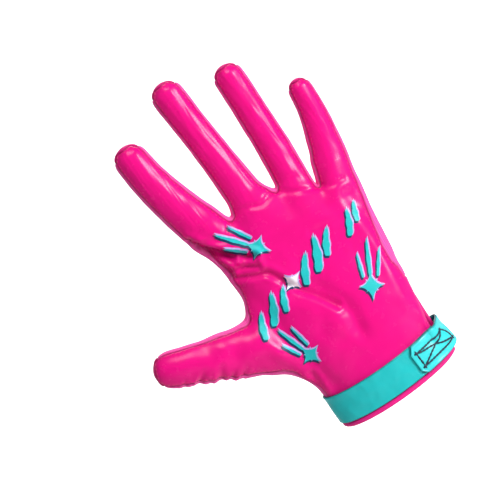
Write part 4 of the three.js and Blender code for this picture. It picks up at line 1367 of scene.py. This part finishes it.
def ink_mesh(name, outlines, shift, layer):
    """A thin closed layer of ink that follows the palm inside each outline"""
    spots, tris = [], []
    for outline in outlines:
        ring = [Vector((x + shift[0], z + shift[1])) for x, z in outline]
        xs, zs = [p.x for p in ring], [p.y for p in ring]
        grid = [
            Vector((x, z))
            for x in np.arange(min(xs), max(xs), INK_GRID)
            for z in np.arange(min(zs), max(zs), INK_GRID)
        ]
        edges = [(k, (k + 1) % len(ring)) for k in range(len(ring))]
        flat, _, cells, *_ = geometry.delaunay_2d_cdt(ring + grid, edges, [], 1, 1e-7)
        used = sorted({k for cell in cells for k in cell})
        places = {}
        tops, feet = [], []
        for k in used:
            outside = Vector((flat[k].x, BEFORE_PALM, flat[k].y))
            hit, _, index, _ = palm_surface.ray_cast(outside, Vector((0, 1, 0)))
            if hit is None:
                break
            normal = Vector(normals[palm_faces[index]].mean(axis=0)).normalized()
            foot = INK_LIFT + layer * INK_LAYER
            feet.append(hit + normal * foot)
            tops.append(hit + normal * (foot + INK_LAYER * INK_FILL))
            places[k] = len(feet) - 1
        if len(feet) < len(used):
            print("an outline leaves the palm:", name, outline[0])
            continue
        start, count = len(spots), len(feet)
        spots += tops + feet
        cells = [[places[k] for k in cell] for cell in cells]
        sides = {}
        for cell in cells:
            for a, b in zip(cell, cell[1:] + cell[:1]):
                if sides.pop((b, a), None) is None:
                    sides[a, b] = True
        tris += [[start + k for k in cell] for cell in cells]
        tris += [[start + count + k for k in reversed(cell)] for cell in cells]
        tris += [[start + b, start + a, start + count + a, start + count + b] for a, b in sides]
    mesh = bpy.data.meshes.new(name)
    mesh.from_pydata(spots, [], tris)
    return facing_out(mesh)


def screen_ink(name, colour, colour_worn):
    """Plastisol ink, cured raised: a smooth even colour with soft gloss and tiny pinholes"""
    material, tree, shader = start_material(name)
    place = add_node(tree, "ShaderNodeTexCoord", {}).outputs["Object"]
    worn = add_node(
        tree,
        "ShaderNodeTexNoise",
        {"Vector": place, "Scale": 1 / (1.2 * MM), "Detail": 4.0},
    )
    spots = add_node(tree, "ShaderNodeMapRange", {0: worn.outputs["Fac"], 1: 0.58, 2: 0.68})
    tint = add_node(
        tree,
        "ShaderNodeMix",
        {0: spots.outputs[0], 6: srgb(colour), 7: srgb(colour_worn)},
        data_type="RGBA",
    )
    tree.links.new(tint.outputs[2], shader.inputs["Base Color"])
    shader.inputs["Roughness"].default_value = 0.4
    shader.inputs["Specular IOR Level"].default_value = 0.3
    return material


STARS = table(
    "across up turn size",
    (-22 * MM, 121 * MM, 128, 1.0),
    (20 * MM, 62 * MM, 60, 1.05),
    (-34 * MM, 50 * MM, 108, 0.9),
)
STREAKS = table("length width side lean", (17, 1.7, -3.4, -9), (22, 2.2, 0, 0), (15, 1.6, 3.4, 9))
SLASHES = table(
    "across up turn length width bend",
    (-47 * MM, 80 * MM, 66, 17, 3.8, 0.8),
    (-37 * MM, 85 * MM, 60, 21, 4.6, -0.9),
    (-27 * MM, 86 * MM, 64, 16, 3.6, 0.7),
    (-6 * MM, 93 * MM, 58, 20, 4.4, 0.9),
    (4 * MM, 97 * MM, 63, 23, 5, -1.0),
    (14 * MM, 99 * MM, 57, 18, 4, 0.7),
    (31 * MM, 101 * MM, 62, 17, 3.8, -0.8),
    (39 * MM, 104 * MM, 66, 13, 3.2, 0.5),
)
teal_outlines = []
for place in STARS:
    size = place.size * MM
    body = star(8.4 * size, 7.4 * size, 4.6 * size)
    teal_outlines.append(placed(body, place.across, place.up, place.turn))
    for streak in STREAKS:
        stroke = slash(streak.length * size, streak.width * size, 0, 2)
        stroke = placed(stroke, (streak.length / 2 + 5.2) * size, streak.side * size, 0)
        stroke = placed(stroke, 0, 0, streak.lean)
        teal_outlines.append(placed(stroke, place.across, place.up, place.turn))
for place in SLASHES:
    stroke = slash(place.length * MM, place.width * MM, place.bend * MM, 3)
    teal_outlines.append(placed(stroke, place.across, place.up, place.turn))
white_outlines = [placed(star(7 * MM, 6.4 * MM, 3.8 * MM), -17 * MM, 92 * MM, 20)]

spread_outlines = [spread(outline, INK_SPREAD) for outline in teal_outlines + white_outlines]
INKS = table(
    "name outlines shift layer colour worn",
    ("print_shadow", spread_outlines, SHADOW_SHIFT, 0, "#0E3058", "#0A2444"),
    ("print_edge_light", spread_outlines, LIGHT_SHIFT, 1, "#C0A8E8", "#D4C4F0"),
    ("print_face", teal_outlines, (0, 0), 2, "#1CBCBE", "#2CC8CA"),
    ("print_accent", white_outlines, (0, 0), 2, "#F0ECF4", "#FAFAFA"),
)
for ink in INKS:
    material = screen_ink(ink.name.replace("print", "plastisol_ink"), ink.colour, ink.worn)
    mesh = ink_mesh(ink.name, ink.outlines, ink.shift, ink.layer)
    finish_piece(ink.name, mesh, material, None)


# Studio
# The glove is held up, palm to the camera and leaning over the photograph's way, before a pale
# seamless sweep. A large soft box stands in front on the little finger's side.
FLOOR_DROP = 0.25
WALL_BEHIND = 1.2
SWEEP_RADIUS = 0.6
SWEEP_STEPS = 24
SWEEP_HALF = 20.0
WALL_HEIGHT = 12.0
FRAME_WIDTH = 0.3075  # of the view, at the glove
CENTRE = Vector((-0.0265, 0, 0.1226))  # of the view
ROOM_LIGHT = 0.35
PAPER_GLOW = 0.74  # lifts the paper to an even white for the camera only
LEAN = math.radians(36)
LENS, SENSOR = 85, 36

profile = [(-SWEEP_HALF, -FLOOR_DROP)]
for k in range(SWEEP_STEPS + 1):
    angle = math.pi / 2 * k / SWEEP_STEPS
    y = WALL_BEHIND - SWEEP_RADIUS + SWEEP_RADIUS * math.sin(angle)
    profile.append((y, -FLOOR_DROP + SWEEP_RADIUS * (1 - math.cos(angle))))
profile.append((WALL_BEHIND, WALL_HEIGHT))
sweep_points = [(side * SWEEP_HALF, y, z) for y, z in profile for side in (-1, 1)]
sweep_faces = [(2 * k, 2 * k + 1, 2 * k + 3, 2 * k + 2) for k in range(len(profile) - 1)]
sweep_mesh = bpy.data.meshes.new("sweep")
sweep_mesh.from_pydata(sweep_points, [], sweep_faces)
sweep_mesh.shade_smooth()
paper, paper_tree, paper_shader = start_material("matt_background_paper")
paper_shader.inputs["Base Color"].default_value = srgb("#FAFAFA")
paper_shader.inputs["Roughness"].default_value = 0.9
paper_seen = add_node(paper_tree, "ShaderNodeLightPath", {}).outputs["Is Camera Ray"]
paper_glow = add_node(paper_tree, "ShaderNodeMath", {0: paper_seen, 1: PAPER_GLOW}, operation="MULTIPLY")
paper_tree.links.new(paper_glow.outputs[0], paper_shader.inputs["Emission Strength"])
paper_shader.inputs["Emission Color"].default_value = srgb("#FFFFFF")
sweep_mesh.materials.append(paper)
sweep = bpy.data.objects.new("sweep", sweep_mesh)
bpy.context.collection.objects.link(sweep)

world = bpy.data.worlds.new("pale_studio")
bpy.context.scene.world = world
world.use_nodes = True
room = world.node_tree.nodes["Background"]
room.inputs["Color"].default_value = srgb("#FFFFFF")
room_seen = add_node(world.node_tree, "ShaderNodeLightPath", {}).outputs["Is Camera Ray"]
room_strength = add_node(world.node_tree, "ShaderNodeMapRange", {0: room_seen, 3: ROOM_LIGHT, 4: 1.0})
world.node_tree.links.new(room_strength.outputs[0], room.inputs["Strength"])

LIGHTS = table(
    "name direction distance size power",
    ("soft_box", (0.86, -0.7, 0.1), 1.1, 0.36, 9),
    ("top_strip", (0.3, -0.62, 0.8), 1.1, 0.45, 4.5),
    ("back_light", (0.3, 0.9, 0.8), 1.1, 0.8, 5),
)
for light in LIGHTS:
    lamp = bpy.data.lights.new(light.name, "AREA")
    lamp.shape = "DISK"
    lamp.size = light.size
    lamp.energy = light.power
    holder = bpy.data.objects.new(light.name, lamp)
    direction = Vector(light.direction).normalized()
    holder.location = CENTRE + direction * light.distance
    holder.rotation_euler = direction.to_track_quat("Z", "Y").to_euler()
    bpy.context.collection.objects.link(holder)

camera_data = bpy.data.cameras.new("camera")
camera_data.lens = LENS
camera_data.sensor_width = SENSOR
camera = bpy.data.objects.new("camera", camera_data)
bpy.context.collection.objects.link(camera)
right = Vector((math.cos(LEAN), 0, -math.sin(LEAN)))
up = Vector((math.sin(LEAN), 0, math.cos(LEAN)))
towards = Vector((0, -1, 0))
turn = Matrix((right, up, towards)).transposed().to_4x4()
camera.matrix_world = Matrix.Translation(CENTRE + towards * FRAME_WIDTH * LENS / SENSOR) @ turn
bpy.context.scene.camera = camera
bpy.context.scene.view_settings.view_transform = "Standard"
